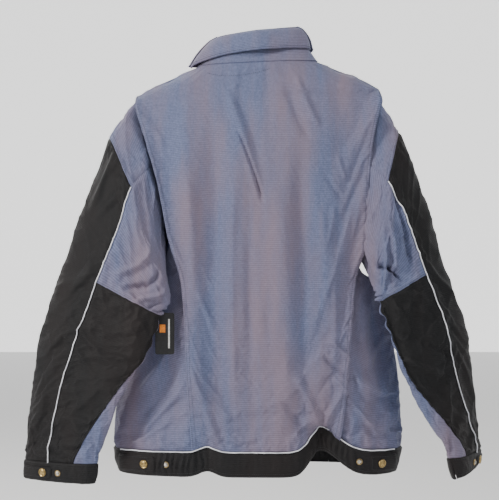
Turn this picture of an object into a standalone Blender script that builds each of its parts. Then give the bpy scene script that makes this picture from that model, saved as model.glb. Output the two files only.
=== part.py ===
"""A men's work jacket hanging from its neck: grey body, black sleeves and waistband, pale piping, brass snaps.

Metres, +Z up. The wearer faces -Y and the wearer's left is +X. The origin is at the middle of the neck opening,
at the height of the back neck seam.
"""

import math

import bmesh
import bpy
from mathutils import Vector

# Driving dimensions
CLOTH = 0.0018  # thickness of one sewn panel
SEAM_GAP = 0.0006  # gap kept between neighbouring panels
LAYER = 0.0032  # how far a piece sewn on top stands above the cloth below it
HEM_Z = -0.742
BAND_HEIGHT = 0.045
BAND_TOP_Z = HEM_Z + BAND_HEIGHT
ARMPIT_Z = -0.395
SHOULDER_Z = -0.055
FRONT_NECK_DROP = 0.075
SQUARENESS = 2.5  # exponent of the body's cross-section: 2 is an ellipse, more is boxier
SLEEVE_SQUARENESS = 2.2
ARMHOLE_CURVE = 0.022  # how far the armhole seam curves in, onto the back and the front
HALF_TURN = math.pi
SIDE = math.pi / 2  # the angle of a side seam, where 0 is the centre back
FRONT_HINGE_X = 0.135
SNAP_RADIUS = 0.0075
STUD_RADIUS = 0.0055
PIPING_RADIUS = 0.0016
PIPING_TURN = math.radians(78.5)  # the piping's place round a sleeve, from its outer edge
CAP_SEAM = 0.16  # places along a sleeve, from the armhole (0) to the cuff's lower edge (1)
ELBOW_SEAM = 0.5
CUFF_SEAM = 0.955

# The body's half width, and its depth behind and in front of the side seams, by height
HALF_WIDTH = [
    (-0.742, 0.250), (-0.69, 0.262), (-0.60, 0.250), (-0.50, 0.222), (-0.395, 0.194), (-0.30, 0.200),
    (-0.15, 0.212), (-0.055, 0.217), (-0.035, 0.190), (-0.015, 0.145), (0.0, 0.108),
]
BACK_DEPTH = [
    (-0.742, 0.098), (-0.50, 0.100), (-0.30, 0.096), (-0.15, 0.084), (-0.055, 0.062), (0.0, 0.050),
]
FRONT_DEPTH = [
    (-0.742, 0.104), (-0.50, 0.104), (-0.30, 0.098), (-0.15, 0.082), (-0.055, 0.060), (0.0, 0.044),
]
# The edge of the back panel, as the distance from the middle at each height
BACK_EDGE_LEFT = [
    (-0.742, 0.116), (-0.68, 0.118), (-0.578, 0.125), (-0.434, 0.131), (-0.353, 0.142), (-0.232, 0.165),
    (-0.146, 0.188), (-0.055, 0.217),
]
BACK_EDGE_RIGHT = [
    (-0.742, 0.144), (-0.66, 0.147), (-0.52, 0.159), (-0.405, 0.168), (-0.29, 0.176), (-0.175, 0.185),
    (-0.10, 0.198), (-0.055, 0.217),
]
# The front edge of the armhole, and the front panel's edge, which is the line it folds open on
ARMHOLE_FRONT = [(-0.395, 0.194), (-0.36, 0.180), (-0.30, 0.172), (-0.20, 0.178), (-0.12, 0.195), (-0.055, 0.217)]
FRONT_EDGE = [(-0.742, 0.135), (-0.40, 0.135), (-0.20, 0.135), (-0.06, 0.120), (0.0, 0.108)]

# A sleeve's outer and inner edge as x, y, z from the armhole to the cuff, and its half thickness behind and in front
LEFT_PLACES = [0.0, 0.16, 0.33, 0.5, 0.65, 0.8, 0.93, 1.0]
LEFT_OUTER = [
    (0.219, 0.000, -0.060), (0.266, 0.010, -0.137), (0.306, 0.020, -0.240), (0.348, 0.030, -0.365),
    (0.386, 0.030, -0.470), (0.409, 0.025, -0.580), (0.421, 0.020, -0.700), (0.423, 0.018, -0.754),
]
LEFT_INNER = [
    (0.172, 0.030, -0.345), (0.155, 0.075, -0.385), (0.151, 0.100, -0.423), (0.170, 0.108, -0.455),
    (0.196, 0.112, -0.522), (0.238, 0.108, -0.590), (0.281, 0.085, -0.700), (0.2925, 0.078, -0.756),
]
LEFT_BACK_HALF = [0.030, 0.044, 0.032, 0.028, 0.026, 0.024, 0.020, 0.018]
LEFT_FRONT_HALF = [0.052, 0.050, 0.022, 0.016, 0.016, 0.018, 0.018, 0.016]
RIGHT_OUTER = [
    (-0.219, 0.000, -0.055), (-0.255, 0.010, -0.125), (-0.300, 0.015, -0.235), (-0.334, 0.015, -0.365),
    (-0.378, 0.010, -0.480), (-0.393, -0.005, -0.585), (-0.408, -0.035, -0.690), (-0.402, -0.045, -0.735),
]
RIGHT_INNER = [
    (-0.185, 0.030, -0.345), (-0.196, 0.060, -0.375), (-0.206, 0.085, -0.400), (-0.214, 0.098, -0.430),
    (-0.236, 0.105, -0.490), (-0.268, 0.108, -0.580), (-0.336, 0.090, -0.690), (-0.356, 0.078, -0.748),
]
RIGHT_BACK_HALF = [0.032, 0.048, 0.036, 0.032, 0.030, 0.026, 0.020, 0.018]
RIGHT_FRONT_HALF = [0.052, 0.050, 0.026, 0.020, 0.018, 0.018, 0.018, 0.016]

FRONT_SNAP_HEIGHTS = [-0.135, -0.290, -0.445, -0.600, HEM_Z + BAND_HEIGHT / 2]
PLACKET_HALF_WIDTH = 0.028

COLOURS = {
    "grey_twill": ((0.155, 0.165, 0.205), 0.9, 0.0),
    "black_twill": ((0.012, 0.012, 0.014), 0.85, 0.0),
    "piping": ((0.62, 0.64, 0.68), 0.5, 0.0),
    "brass": ((0.35, 0.25, 0.11), 0.4, 1.0),
    "card": ((0.01, 0.01, 0.01), 0.5, 0.0),
}


def smooth(t):
    t = min(1.0, max(0.0, t))
    return t * t * (3 - 2 * t)


def along(rows, at):
    """Reads a table of (place, value) rows at a place, as one smooth curve through the rows."""
    places = [row[0] for row in rows]
    values = [row[1] for row in rows]
    if at <= places[0]:
        return values[0]
    if at >= places[-1]:
        return values[-1]
    i = max(k for k in range(len(places) - 1) if places[k] <= at)
    slopes = [(values[k + 1] - values[k]) / (places[k + 1] - places[k]) for k in range(len(places) - 1)]
    start = slopes[i] if i == 0 else (slopes[i - 1] + slopes[i]) / 2
    end = slopes[i] if i == len(slopes) - 1 else (slopes[i] + slopes[i + 1]) / 2
    step = places[i + 1] - places[i]
    t = (at - places[i]) / step
    return (
        (2 * t**3 - 3 * t**2 + 1) * values[i]
        + (t**3 - 2 * t**2 + t) * step * start
        + (3 * t**2 - 2 * t**3) * values[i + 1]
        + (t**3 - t**2) * step * end
    )


def mix(a, b, t):
    return a + (b - a) * t


# The body shell


def hang(point):
    """How the cloth hangs: the neck leans a little to the wearer's left, and the back hem is pushed up in two folds."""
    x, y, z = point
    z -= 0.045 * x * smooth((z + 0.13) / 0.13)
    if y > 0:
        near_hem = math.exp(-max(0.0, z - BAND_TOP_Z) / 0.05)
        peak_width = 0.026 if x > -0.112 else 0.045
        lift = 0.044 * math.exp(-(((x + 0.112) / peak_width) ** 2)) + 0.010 * math.exp(-(((x - 0.089) / 0.02) ** 2))
        z += lift * near_hem * smooth(y / 0.05)
        y -= 0.6 * lift * near_hem
    return Vector((x, y, z))


def round_body(angle, z):
    """A point of the body: angle 0 is the centre back, a quarter turn the left side seam, a half turn the centre front."""
    s, c = math.sin(angle), math.cos(angle)
    reach = (abs(s) ** SQUARENESS + abs(c) ** SQUARENESS) ** (-1 / SQUARENESS)
    depth = along(BACK_DEPTH if c > 0 else FRONT_DEPTH, z)
    return Vector((along(HALF_WIDTH, z) * s * reach, depth * c * reach, z))


def body(angle, z, proud=0.0):
    """The body's surface, moved outwards by proud."""
    step = 1e-3
    point = hang(round_body(angle, z))
    if not proud:
        return point
    across = hang(round_body(angle + step, z)) - hang(round_body(angle - step, z))
    up = hang(round_body(angle, z + step)) - hang(round_body(angle, z - step))
    return point + up.cross(across).normalized() * proud


def angle_of(x, z, front=False):
    """The angle where the body's surface is x from its middle."""
    share = min(1.0, abs(x) / along(HALF_WIDTH, z)) ** SQUARENESS
    angle = SIDE if share > 0.9999 else math.atan((share / (1 - share)) ** (1 / SQUARENESS))
    angle = HALF_TURN - angle if front else angle
    return math.copysign(angle, x)


def front_neck_height(share):
    """The height of the front neck seam, from the shoulder (0) to the centre front (1)."""
    return -FRONT_NECK_DROP * smooth(share) ** 1.3


def front_edge(z):
    return angle_of(along(FRONT_EDGE, z), z, front=True)


def front_neck_point(side, share):
    """The front neck seam as (angle, height), from the shoulder (0) to the centre front (1)."""
    height = front_neck_height(share)
    return side * mix(front_edge(height), HALF_TURN, share), height


# The sleeves


def read_points(places, points, at):
    return Vector([along([(p, q[k]) for p, q in zip(places, points)], at) for k in range(3)])


def round_sleeve(side, turn, place):
    """A point of a sleeve: turn 0 is its outer edge, a quarter turn its back, a half turn its inner edge."""
    left = side == "left"
    outer = read_points(LEFT_PLACES, LEFT_OUTER if left else RIGHT_OUTER, place)
    inner = read_points(LEFT_PLACES, LEFT_INNER if left else RIGHT_INNER, place)
    behind = along(list(zip(LEFT_PLACES, LEFT_BACK_HALF if left else RIGHT_BACK_HALF)), place)
    before = along(list(zip(LEFT_PLACES, LEFT_FRONT_HALF if left else RIGHT_FRONT_HALF)), place)
    flat = outer - inner
    backwards = Vector((0, 1, 0)) - flat * (flat.y / flat.length_squared)
    backwards.normalize()
    c, s = math.cos(turn), math.sin(turn)
    reach = (abs(s) ** SLEEVE_SQUARENESS + abs(c) ** SLEEVE_SQUARENESS) ** (-1 / SLEEVE_SQUARENESS)
    onto_body = ARMHOLE_CURVE * abs(s) ** 1.5 * (1 - smooth(place / CAP_SEAM))
    outer.x -= math.copysign(onto_body, outer.x)
    inner.x -= math.copysign(onto_body, inner.x)
    return (outer + inner) / 2 + flat * c * reach / 2 + backwards * s * reach * (behind if s > 0 else before)


def sleeve(side, turn, place, proud=0.0):
    point = round_sleeve(side, turn, place)
    if not proud:
        return point
    step = 1e-3
    across = round_sleeve(side, turn + step, place) - round_sleeve(side, turn - step, place)
    down = round_sleeve(side, turn, place + step) - round_sleeve(side, turn, place - step)
    outwards = across.cross(down).normalized()
    middle = (round_sleeve(side, 0, place) + round_sleeve(side, HALF_TURN, place)) / 2
    if outwards.dot(point - middle) < 0:
        outwards.negate()
    return point + outwards * proud


# Building


def collection_named(name):
    made = bpy.data.collections.new(name)
    bpy.context.scene.collection.children.link(made)
    return made


def material_for(name):
    if name in bpy.data.materials:
        return bpy.data.materials[name]
    colour, roughness, metallic = COLOURS[name]
    made = bpy.data.materials.new(name)
    made.use_nodes = True
    shader = made.node_tree.nodes["Principled BSDF"]
    shader.inputs["Base Color"].default_value = (*colour, 1)
    shader.inputs["Roughness"].default_value = roughness
    shader.inputs["Metallic"].default_value = metallic
    return made


def own_material(obj, name):
    made = material_for(name).copy()
    made.name = f"{obj.name}_{name}"
    obj.data.materials.clear()
    obj.data.materials.append(made)


def cloth_panel(name, surface, columns, rows, material, thickness=CLOTH, inside=None):
    """One sewn panel: an open sheet of surface(u, v), each from 0 to 1, given its thickness with Solidify.

    inside is a point that the sheet's outer face turns away from.
    """
    mesh = bpy.data.meshes.new(name)
    sheet = bmesh.new()
    grid = [[sheet.verts.new(surface(i / columns, j / rows)) for i in range(columns + 1)] for j in range(rows + 1)]
    for j in range(rows):
        for i in range(columns):
            sheet.faces.new((grid[j][i], grid[j][i + 1], grid[j + 1][i + 1], grid[j + 1][i]))
    sheet.normal_update()
    away = sum(
        (face.normal.dot(face.calc_center_median() - Vector(inside or BODY_MIDDLE)) * face.calc_area())
        for face in sheet.faces
    )
    if away < 0:
        bmesh.ops.reverse_faces(sheet, faces=sheet.faces)
    sheet.to_mesh(mesh)
    sheet.free()
    made = bpy.data.objects.new(name, mesh)
    JACKET.objects.link(made)
    shell = made.modifiers.new("cloth", "SOLIDIFY")
    shell.thickness = thickness
    shell.offset = -1
    mesh.shade_smooth()
    own_material(made, material)
    return made


def turned_snap(name, point, outwards, radius, height, dimple, material="brass"):
    """A snap cap or stud: a profile turned about the normal of the cloth that it is set in."""
    profile = [(0.0, height * (1 - dimple)), (radius * 0.45, height), (radius * 0.85, height * 0.85), (radius, height * 0.3)]
    profile += [(radius, 0.0), (0.0, 0.0)]
    mesh = bpy.data.meshes.new(name)
    line = bmesh.new()
    points = [line.verts.new((x, 0, z)) for x, z in profile]
    for a, b in zip(points, points[1:]):
        line.edges.new((a, b))
    line.to_mesh(mesh)
    line.free()
    made = bpy.data.objects.new(name, mesh)
    JACKET.objects.link(made)
    turn = made.modifiers.new("turn", "SCREW")
    turn.steps = turn.render_steps = 12
    turn.use_merge_vertices = True
    turn.merge_threshold = 0.0001
    made.location = point
    made.rotation_euler = outwards.to_track_quat("Z", "Y").to_euler()
    own_material(made, material)
    return made


def cord_tube(name, points, radius, material):
    """A round cord through the points, such as piping."""
    curve = bpy.data.curves.new(name, "CURVE")
    curve.dimensions = "3D"
    curve.bevel_depth = radius
    curve.bevel_resolution = 1
    curve.use_fill_caps = True
    spline = curve.splines.new("POLY")
    spline.points.add(len(points) - 1)
    for place, point in zip(spline.points, points):
        place.co = (*point, 1)
    made = bpy.data.objects.new(name, curve)
    JACKET.objects.link(made)
    own_material(made, material)
    return made


def body_panel(name, left_edge, right_edge, low, high, columns, rows, material, proud=0.0, top=None):
    """A panel of the body between two edges, given as angles by height, from low up to high or to top(u)."""

    def surface(u, v):
        level = mix(low, top(u) if top else high, v)
        return body(mix(left_edge(level), right_edge(level), u), level, proud)

    return cloth_panel(name, surface, columns, rows, material)


def normal_of_body(angle, z):
    return (body(angle, z, 0.01) - body(angle, z)).normalized()


def snap_on_body(name, x, z, front, proud, radius=SNAP_RADIUS, height=0.0028, dimple=0.15):
    angle = angle_of(x, z, front)
    outwards = normal_of_body(angle, z)
    return turned_snap(name, body(angle, z) + outwards * (proud + 0.0004), outwards, radius, height, dimple)


def make_body():
    gap = SEAM_GAP / 0.2

    def back_edge(side):
        rows = BACK_EDGE_LEFT if side > 0 else BACK_EDGE_RIGHT
        return lambda z: side * (angle_of(along(rows, z), z) if z < SHOULDER_Z else SIDE)

    def armhole_edge(z):
        if z <= ARMPIT_Z or z >= SHOULDER_Z:
            return SIDE
        return angle_of(along(ARMHOLE_FRONT, z), z, front=True)

    def shoulder_gap(z):
        return 0.035 * smooth((z - SHOULDER_Z) / 0.02)

    seam = BAND_TOP_Z + 2 * SEAM_GAP
    body_panel(
        "back_panel",
        lambda z: back_edge(-1)(z) + gap + shoulder_gap(z),
        lambda z: back_edge(1)(z) - gap - shoulder_gap(z),
        seam,
        -0.001,
        24,
        17,
        "grey_twill",
    )
    for side, word in ((1, "left"), (-1, "right")):
        body_panel(
            f"back_side_{word}",
            lambda z: back_edge(side)(z) + side * gap,
            lambda z: side * (SIDE - gap),
            seam,
            ARMPIT_Z - 0.012,
            5,
            9,
            "grey_twill",
        )
        body_panel(
            f"front_side_{word}",
            lambda z: side * (armhole_edge(z) + gap + shoulder_gap(z)),
            lambda z: side * (front_edge(z) - 2 * gap),
            seam,
            -0.012,
            6,
            20,
            "grey_twill",
        )
        body_panel(
            f"front_panel_{word}",
            lambda z: side * (front_edge(z) + 2 * gap + shoulder_gap(z)),
            lambda z: side * (HALF_TURN - 0.004),
            seam,
            0.0,
            8,
            18,
            "grey_twill",
            top=front_neck_height,
        )
        make_front(side, word, gap)
    band_edge = front_edge(HEM_Z)
    body_panel(
        "waistband_back",
        lambda z: -(band_edge - 2 * gap),
        lambda z: band_edge - 2 * gap,
        HEM_Z,
        BAND_TOP_Z - 2 * SEAM_GAP,
        44,
        2,
        "black_twill",
    )
    ends = angle_of(0.245, BAND_TOP_Z)
    piping = [body(mix(-ends, ends, k / 48), BAND_TOP_Z, PIPING_RADIUS + 0.0016) for k in range(49)]
    cord_tube("waist_piping", piping, PIPING_RADIUS, "piping")


def make_front(side, word, gap):
    """What is sewn on a front panel: its pocket and flap, its part of the waistband and its snaps."""
    pocket_low, pocket_high = -0.315, -0.185
    pocket_near, pocket_far = 0.038, 0.122

    def pocket_face(u, v):
        level = mix(pocket_low, pocket_high, v)
        return body(side * angle_of(mix(pocket_near, pocket_far, u), level, front=True), level, LAYER)

    cloth_panel(f"chest_pocket_{word}", pocket_face, 6, 5, "grey_twill")

    def flap_face(u, v):
        level = mix(pocket_high - 0.040, pocket_high + 0.012, v) + 0.010 * (abs(2 * u - 1)) * (1 - v)
        return body(side * angle_of(mix(pocket_near - 0.003, pocket_far + 0.003, u), level, front=True), level, 2 * LAYER)

    cloth_panel(f"pocket_flap_{word}", flap_face, 6, 3, "black_twill")
    middle = side * (pocket_near + pocket_far) / 2
    snap_on_body(f"pocket_snap_{word}", middle, pocket_high - 0.022, True, 2 * LAYER)
    band_start = angle_of(FRONT_HINGE_X, HEM_Z, front=True)
    body_panel(
        f"waistband_front_{word}",
        lambda z: side * (band_start + 2 * gap),
        lambda z: side * (HALF_TURN - 0.004),
        HEM_Z,
        BAND_TOP_Z - SEAM_GAP,
        8,
        2,
        "black_twill",
    )


def make_closure():
    """The placket on the left front that covers the opening, its snap caps, and the studs below them on the right."""
    top = -FRONT_NECK_DROP - 0.040

    def placket_face(u, v):
        level = mix(HEM_Z, top, v)
        x = mix(-PLACKET_HALF_WIDTH, PLACKET_HALF_WIDTH, u)
        angle = angle_of(x, level, front=True)
        return body(angle, level, 1.6 * LAYER)

    cloth_panel("placket", placket_face, 4, 18, "black_twill")
    for number, height in enumerate(FRONT_SNAP_HEIGHTS, 1):
        snap_on_body(f"front_snap_cap_{number}", -0.0105, height, True, 1.6 * LAYER)
        snap_on_body(f"front_snap_stud_{number}", -0.0105, height, True, 0.0, STUD_RADIUS, 0.0022, 0.0)


def collar_section(angle, height, to_front, across):
    """The collar: across 0 is at the neck seam, 0.55 at the fold, and 1 at the fall's edge outside the stand."""
    base = body(angle, height)
    stand_height = mix(0.060, 0.026, to_front)
    lean_in = mix(0.010 + 0.024 * abs(math.sin(angle)), 0.004, to_front)
    outwards = Vector((base.x, base.y * 1.6, 0)).normalized()
    foot = base + Vector((0, 0, 0.0028))
    fold = foot - outwards * lean_in + Vector((0, 0, stand_height - 0.045 * base.x * (1 - to_front)))
    lying_open = abs(math.sin(angle)) ** 3 * (1 - to_front) * (1.0 if base.x > 0 else 0.2)
    fall = mix(0.038, 0.062, to_front) + 0.016 * lying_open
    edge = fold + outwards * (mix(0.016, 0.030, to_front) + 0.030 * lying_open) - Vector((0, 0, fall))
    bend = 0.55
    if across <= bend:
        t = across / bend
        return foot.lerp(fold, t) - outwards * 0.004 * math.sin(math.pi * t)
    t = (across - bend) / (1 - bend)
    crown = outwards * (0.0035 + 0.004 * math.sin(math.pi * t)) * smooth(t / 0.15)
    return fold.lerp(edge, t) + crown + Vector((0, 0, 0.002 * math.sin(math.pi * t)))


def make_collar():
    gap = 0.012
    middle = (0, 0, 0.02)
    collar_cloth = 0.0012

    def back(u, v):
        return collar_section(mix(-SIDE + gap, SIDE - gap, u), 0.0, 0.0, v)

    cloth_panel("collar_back", back, 14, 10, "grey_twill", collar_cloth, middle)
    for side, word in ((1, "left"), (-1, "right")):

        def wing(u, v):
            share = mix(gap, 0.93, u)
            angle, height = front_neck_point(side, share)
            return collar_section(angle, height, smooth(share), v)

        cloth_panel(f"collar_wing_{word}", wing, 9, 10, "grey_twill", collar_cloth, middle)


def make_waist_tab(side, word):
    """The adjusting tab on the waistband: sewn at the side seam, snapped near its free end."""
    middle_z = HEM_Z + BAND_HEIGHT / 2
    free_end, sewn_end = (0.181, 0.246) if side > 0 else (0.200, 0.246)

    def tab_face(u, v):
        level = mix(middle_z - 0.014, middle_z + 0.014, v)
        return body(side * abs(angle_of(mix(free_end, sewn_end, u), level)), level, LAYER)

    cloth_panel(f"waist_tab_{word}", tab_face, 6, 2, "black_twill")
    cap_x = side * (free_end + 0.019)
    stud_x = side * (free_end - 0.019)
    snap_on_body(f"waist_snap_cap_{word}", cap_x, middle_z, False, LAYER)
    snap_on_body(f"waist_snap_stud_{word}", stud_x, middle_z, False, 0.0, STUD_RADIUS, 0.0022, 0.0)


def sleeve_panel(name, side, first, last, start, end, columns, rows, material, proud=0.0):
    """A panel of a sleeve between two turns, each given by place, and between two places along it."""

    def surface(u, v):
        place = mix(start, end, v)
        return sleeve(side, mix(first(place), last(place), u), place, proud)

    mid = round_sleeve(side, 0, (start + end) / 2).lerp(round_sleeve(side, HALF_TURN, (start + end) / 2), 0.5)
    return cloth_panel(name, surface, columns, rows, material, inside=mid)


def gusset_edge(place):
    """Where the grey gusset meets the black lower panel: on the inner edge at the elbow, round to the back at the cuff."""
    return math.radians(mix(188, 112, smooth((place - 0.62) / 0.4)))


def make_sleeve(side, word):
    gap = SEAM_GAP / 0.06
    step = SEAM_GAP / 0.3
    back_seam, front_seam = PIPING_TURN, 2 * HALF_TURN - PIPING_TURN

    def constant(turn):
        return lambda place: turn

    top = 0.004
    sleeve_panel(
        f"sleeve_cap_{word}", word, constant(-back_seam + gap), constant(back_seam - gap),
        top, CAP_SEAM - step, 10, 4, "grey_twill",
    )
    sleeve_panel(
        f"sleeve_outer_{word}", word, constant(-back_seam + gap), constant(back_seam - gap),
        CAP_SEAM + step, CUFF_SEAM - step, 10, 14, "black_twill",
    )
    sleeve_panel(
        f"sleeve_underarm_{word}", word, constant(back_seam + gap), constant(front_seam - gap),
        top, ELBOW_SEAM - step, 12, 8, "grey_twill",
    )
    sleeve_panel(
        f"sleeve_lower_{word}", word, constant(back_seam + gap), lambda place: gusset_edge(place) - 7 * gap,
        ELBOW_SEAM + step, CUFF_SEAM - step, 7, 8, "black_twill",
    )
    sleeve_panel(
        f"sleeve_gusset_{word}", word, lambda place: gusset_edge(place) + 7 * gap, constant(front_seam - gap),
        ELBOW_SEAM + step, CUFF_SEAM - step, 7, 8, "grey_twill",
    )
    cuff_open = math.radians(4)
    sleeve_panel(
        f"cuff_{word}", word, constant(-HALF_TURN + cuff_open), constant(HALF_TURN - cuff_open),
        CUFF_SEAM + step, 1.0, 22, 2, "black_twill",
    )
    piping = [sleeve(word, back_seam, mix(CAP_SEAM, CUFF_SEAM, k / 24), PIPING_RADIUS + 0.0004) for k in range(25)]
    cord_tube(f"sleeve_piping_{word}", piping, PIPING_RADIUS, "piping")
    make_cuff_tab(word)


def make_cuff_tab(word):
    """The adjusting tab on a cuff's back: sewn at the outer edge, snapped near its free end."""
    sewn, free = math.radians(28), math.radians(86)
    middle = (CUFF_SEAM + 1.0) / 2
    spread = 0.012

    def tab_face(u, v):
        return sleeve(word, mix(sewn, free, u), mix(middle - spread, middle + spread, v), LAYER)

    inner = round_sleeve(word, 0, middle).lerp(round_sleeve(word, HALF_TURN, middle), 0.5)
    cloth_panel(f"cuff_tab_{word}", tab_face, 5, 2, "black_twill", inside=inner)
    for kind, turn, proud, radius, height in (
        ("cap", free - 0.24, LAYER, SNAP_RADIUS, 0.0028),
        ("stud", free + 0.18, 0.0, STUD_RADIUS, 0.0022),
    ):
        point = sleeve(word, turn, middle)
        outwards = (sleeve(word, turn, middle, 0.01) - point).normalized()
        turned_snap(f"cuff_snap_{kind}_{word}", point + outwards * (proud + 0.0004), outwards, radius, height, 0.1)


def make_hanger_loop():
    """A loop of tape sewn inside the back neck, which the jacket can hang from."""
    foot = body(0, -0.006).y - 0.0060

    def loop_face(u, v):
        across = mix(-0.022, 0.022, u)
        drop = 0.020 * (1 - (abs(2 * u - 1)) ** 2.5)
        return Vector((across, foot - 0.010 * (1 - abs(2 * u - 1)) - 0.004, -0.006 - drop - 0.006 * v))

    cloth_panel("hanger_loop", loop_face, 12, 1, "black_twill", 0.0012, (0, 0.2, 0))


def make_swing_tag():
    """A blank card on a string, hanging between the left sleeve and the body."""
    top, size_x, size_z, depth = Vector((0.165, 0.0875, -0.450)), 0.034, 0.074, 0.0014
    mesh = bpy.data.meshes.new("swing_tag")
    card = bmesh.new()
    bmesh.ops.create_cube(card, size=1.0)
    bmesh.ops.scale(card, vec=(size_x, depth, size_z), verts=card.verts)
    bmesh.ops.translate(card, vec=top - Vector((0, 0, size_z / 2)), verts=card.verts)
    card.to_mesh(mesh)
    card.free()
    made = bpy.data.objects.new("swing_tag", mesh)
    JACKET.objects.link(made)
    corners = made.modifiers.new("corners", "BEVEL")
    corners.width = 0.0005
    own_material(made, "card")


for old in list(bpy.data.objects):
    bpy.data.objects.remove(old)
BODY_MIDDLE = (0.0, 0.0, -0.40)
JACKET = collection_named("work_jacket")
make_body()
make_closure()
make_collar()
for hand, hand_word in ((1, "left"), (-1, "right")):
    make_waist_tab(hand, hand_word)
    make_sleeve(hand, hand_word)
make_hanger_loop()
make_swing_tag()
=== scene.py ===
"""The looks of a two-tone work jacket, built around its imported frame.

Every cloth panel is a dense sheet on the same surfaces as the frame's panels, with its folds, seams and
stitches. Metres, +Z up. The wearer faces -Y, so the camera, which sees the
jacket's back, stands at +Y.
"""

import math
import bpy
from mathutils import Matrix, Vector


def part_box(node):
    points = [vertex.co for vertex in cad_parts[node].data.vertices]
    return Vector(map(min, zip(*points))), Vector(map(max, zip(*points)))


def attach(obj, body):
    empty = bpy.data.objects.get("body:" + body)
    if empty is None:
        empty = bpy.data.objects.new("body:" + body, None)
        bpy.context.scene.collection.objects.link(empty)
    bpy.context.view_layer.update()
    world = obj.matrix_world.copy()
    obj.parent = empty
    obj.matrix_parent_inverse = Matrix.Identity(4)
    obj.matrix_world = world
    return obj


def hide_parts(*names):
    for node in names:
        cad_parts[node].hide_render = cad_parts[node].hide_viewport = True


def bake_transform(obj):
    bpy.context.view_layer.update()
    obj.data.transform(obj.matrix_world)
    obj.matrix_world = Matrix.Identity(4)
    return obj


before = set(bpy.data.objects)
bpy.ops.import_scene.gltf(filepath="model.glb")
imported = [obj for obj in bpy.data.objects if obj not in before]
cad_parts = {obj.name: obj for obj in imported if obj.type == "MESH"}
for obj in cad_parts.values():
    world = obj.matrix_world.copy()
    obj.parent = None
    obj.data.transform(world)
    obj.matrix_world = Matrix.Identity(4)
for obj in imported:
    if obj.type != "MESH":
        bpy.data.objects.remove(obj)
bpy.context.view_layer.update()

import bpy
import numpy as np
from mathutils import Vector

# The frame's driving dimensions, as the part has them
HEM_Z = -0.742
BAND_HEIGHT = 0.045
BAND_TOP_Z = HEM_Z + BAND_HEIGHT
BAND_MIDDLE_Z = HEM_Z + BAND_HEIGHT / 2
ARMPIT_Z = -0.395
SHOULDER_Z = -0.055
FRONT_NECK_DROP = 0.075
SQUARENESS = 2.5
SLEEVE_SQUARENESS = 2.2
ARMHOLE_CURVE = 0.022
PIPING_TURN = math.radians(78.5)
CAP_SEAM = 0.16
ELBOW_SEAM = 0.5
CUFF_SEAM = 0.955
PI = math.pi
SIDE = math.pi / 2
LAYER = 0.0032
SNAP_RADIUS = 0.0075
STUD_RADIUS = 0.0055
CLOTH = 0.0016
SIDES = ((1, "left"), (-1, "right"))
BOX_FACES = [(3, 2, 1, 0), (4, 5, 6, 7), (0, 1, 5, 4), (1, 2, 6, 5), (2, 3, 7, 6), (3, 0, 4, 7)]

# Stitches, each a small raised bead
STITCH_LENGTH = 0.0026
STITCH_GAP = 0.0011
STITCH_WIDTH = 0.00085
STITCH_HEIGHT = 0.00035

HALF_WIDTH = [
    (-0.742, 0.250), (-0.69, 0.262), (-0.60, 0.250), (-0.50, 0.222), (-0.395, 0.194), (-0.30, 0.200),
    (-0.15, 0.212), (-0.055, 0.217), (-0.035, 0.190), (-0.015, 0.145), (0.0, 0.108),
]
BACK_DEPTH = [(-0.742, 0.098), (-0.50, 0.100), (-0.30, 0.096), (-0.15, 0.084), (-0.055, 0.062), (0.0, 0.050)]
FRONT_DEPTH = [(-0.742, 0.104), (-0.50, 0.104), (-0.30, 0.098), (-0.15, 0.082), (-0.055, 0.060), (0.0, 0.044)]
BACK_EDGE_LEFT = [
    (-0.742, 0.116), (-0.68, 0.118), (-0.578, 0.125), (-0.434, 0.131), (-0.353, 0.142), (-0.232, 0.165),
    (-0.146, 0.188), (-0.055, 0.217),
]
BACK_EDGE_RIGHT = [
    (-0.742, 0.144), (-0.66, 0.147), (-0.52, 0.159), (-0.405, 0.168), (-0.29, 0.176), (-0.175, 0.185),
    (-0.10, 0.198), (-0.055, 0.217),
]
ARMHOLE_FRONT = [
    (-0.395, 0.194), (-0.36, 0.180), (-0.30, 0.172), (-0.20, 0.178), (-0.12, 0.195), (-0.055, 0.217),
]
FRONT_EDGE = [(-0.742, 0.135), (-0.40, 0.135), (-0.20, 0.135), (-0.06, 0.120), (0.0, 0.108)]
PLACES = [0.0, 0.16, 0.33, 0.5, 0.65, 0.8, 0.93, 1.0]
OUTER = {
    "left": [
        (0.219, 0.000, -0.060), (0.266, 0.010, -0.137), (0.306, 0.020, -0.240), (0.348, 0.030, -0.365),
        (0.386, 0.030, -0.470), (0.409, 0.025, -0.580), (0.421, 0.020, -0.700), (0.423, 0.018, -0.754),
    ],
    "right": [
        (-0.219, 0.000, -0.055), (-0.255, 0.010, -0.125), (-0.300, 0.015, -0.235), (-0.334, 0.015, -0.365),
        (-0.378, 0.010, -0.480), (-0.393, -0.005, -0.585), (-0.408, -0.035, -0.690), (-0.402, -0.045, -0.735),
    ],
}
INNER = {
    "left": [
        (0.172, 0.030, -0.345), (0.155, 0.075, -0.385), (0.151, 0.100, -0.423), (0.170, 0.108, -0.455),
        (0.196, 0.112, -0.522), (0.238, 0.108, -0.590), (0.281, 0.085, -0.700), (0.2925, 0.078, -0.756),
    ],
    "right": [
        (-0.185, 0.030, -0.345), (-0.196, 0.060, -0.375), (-0.206, 0.085, -0.400), (-0.214, 0.098, -0.430),
        (-0.236, 0.105, -0.490), (-0.268, 0.108, -0.580), (-0.336, 0.090, -0.690), (-0.356, 0.078, -0.748),
    ],
}
BACK_HALF = {
    "left": [0.030, 0.044, 0.032, 0.028, 0.026, 0.024, 0.020, 0.018],
    "right": [0.032, 0.048, 0.036, 0.032, 0.030, 0.026, 0.020, 0.018],
}
FRONT_HALF = {
    "left": [0.052, 0.050, 0.022, 0.016, 0.016, 0.018, 0.018, 0.016],
    "right": [0.052, 0.050, 0.026, 0.020, 0.018, 0.018, 0.018, 0.016],
}

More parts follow.
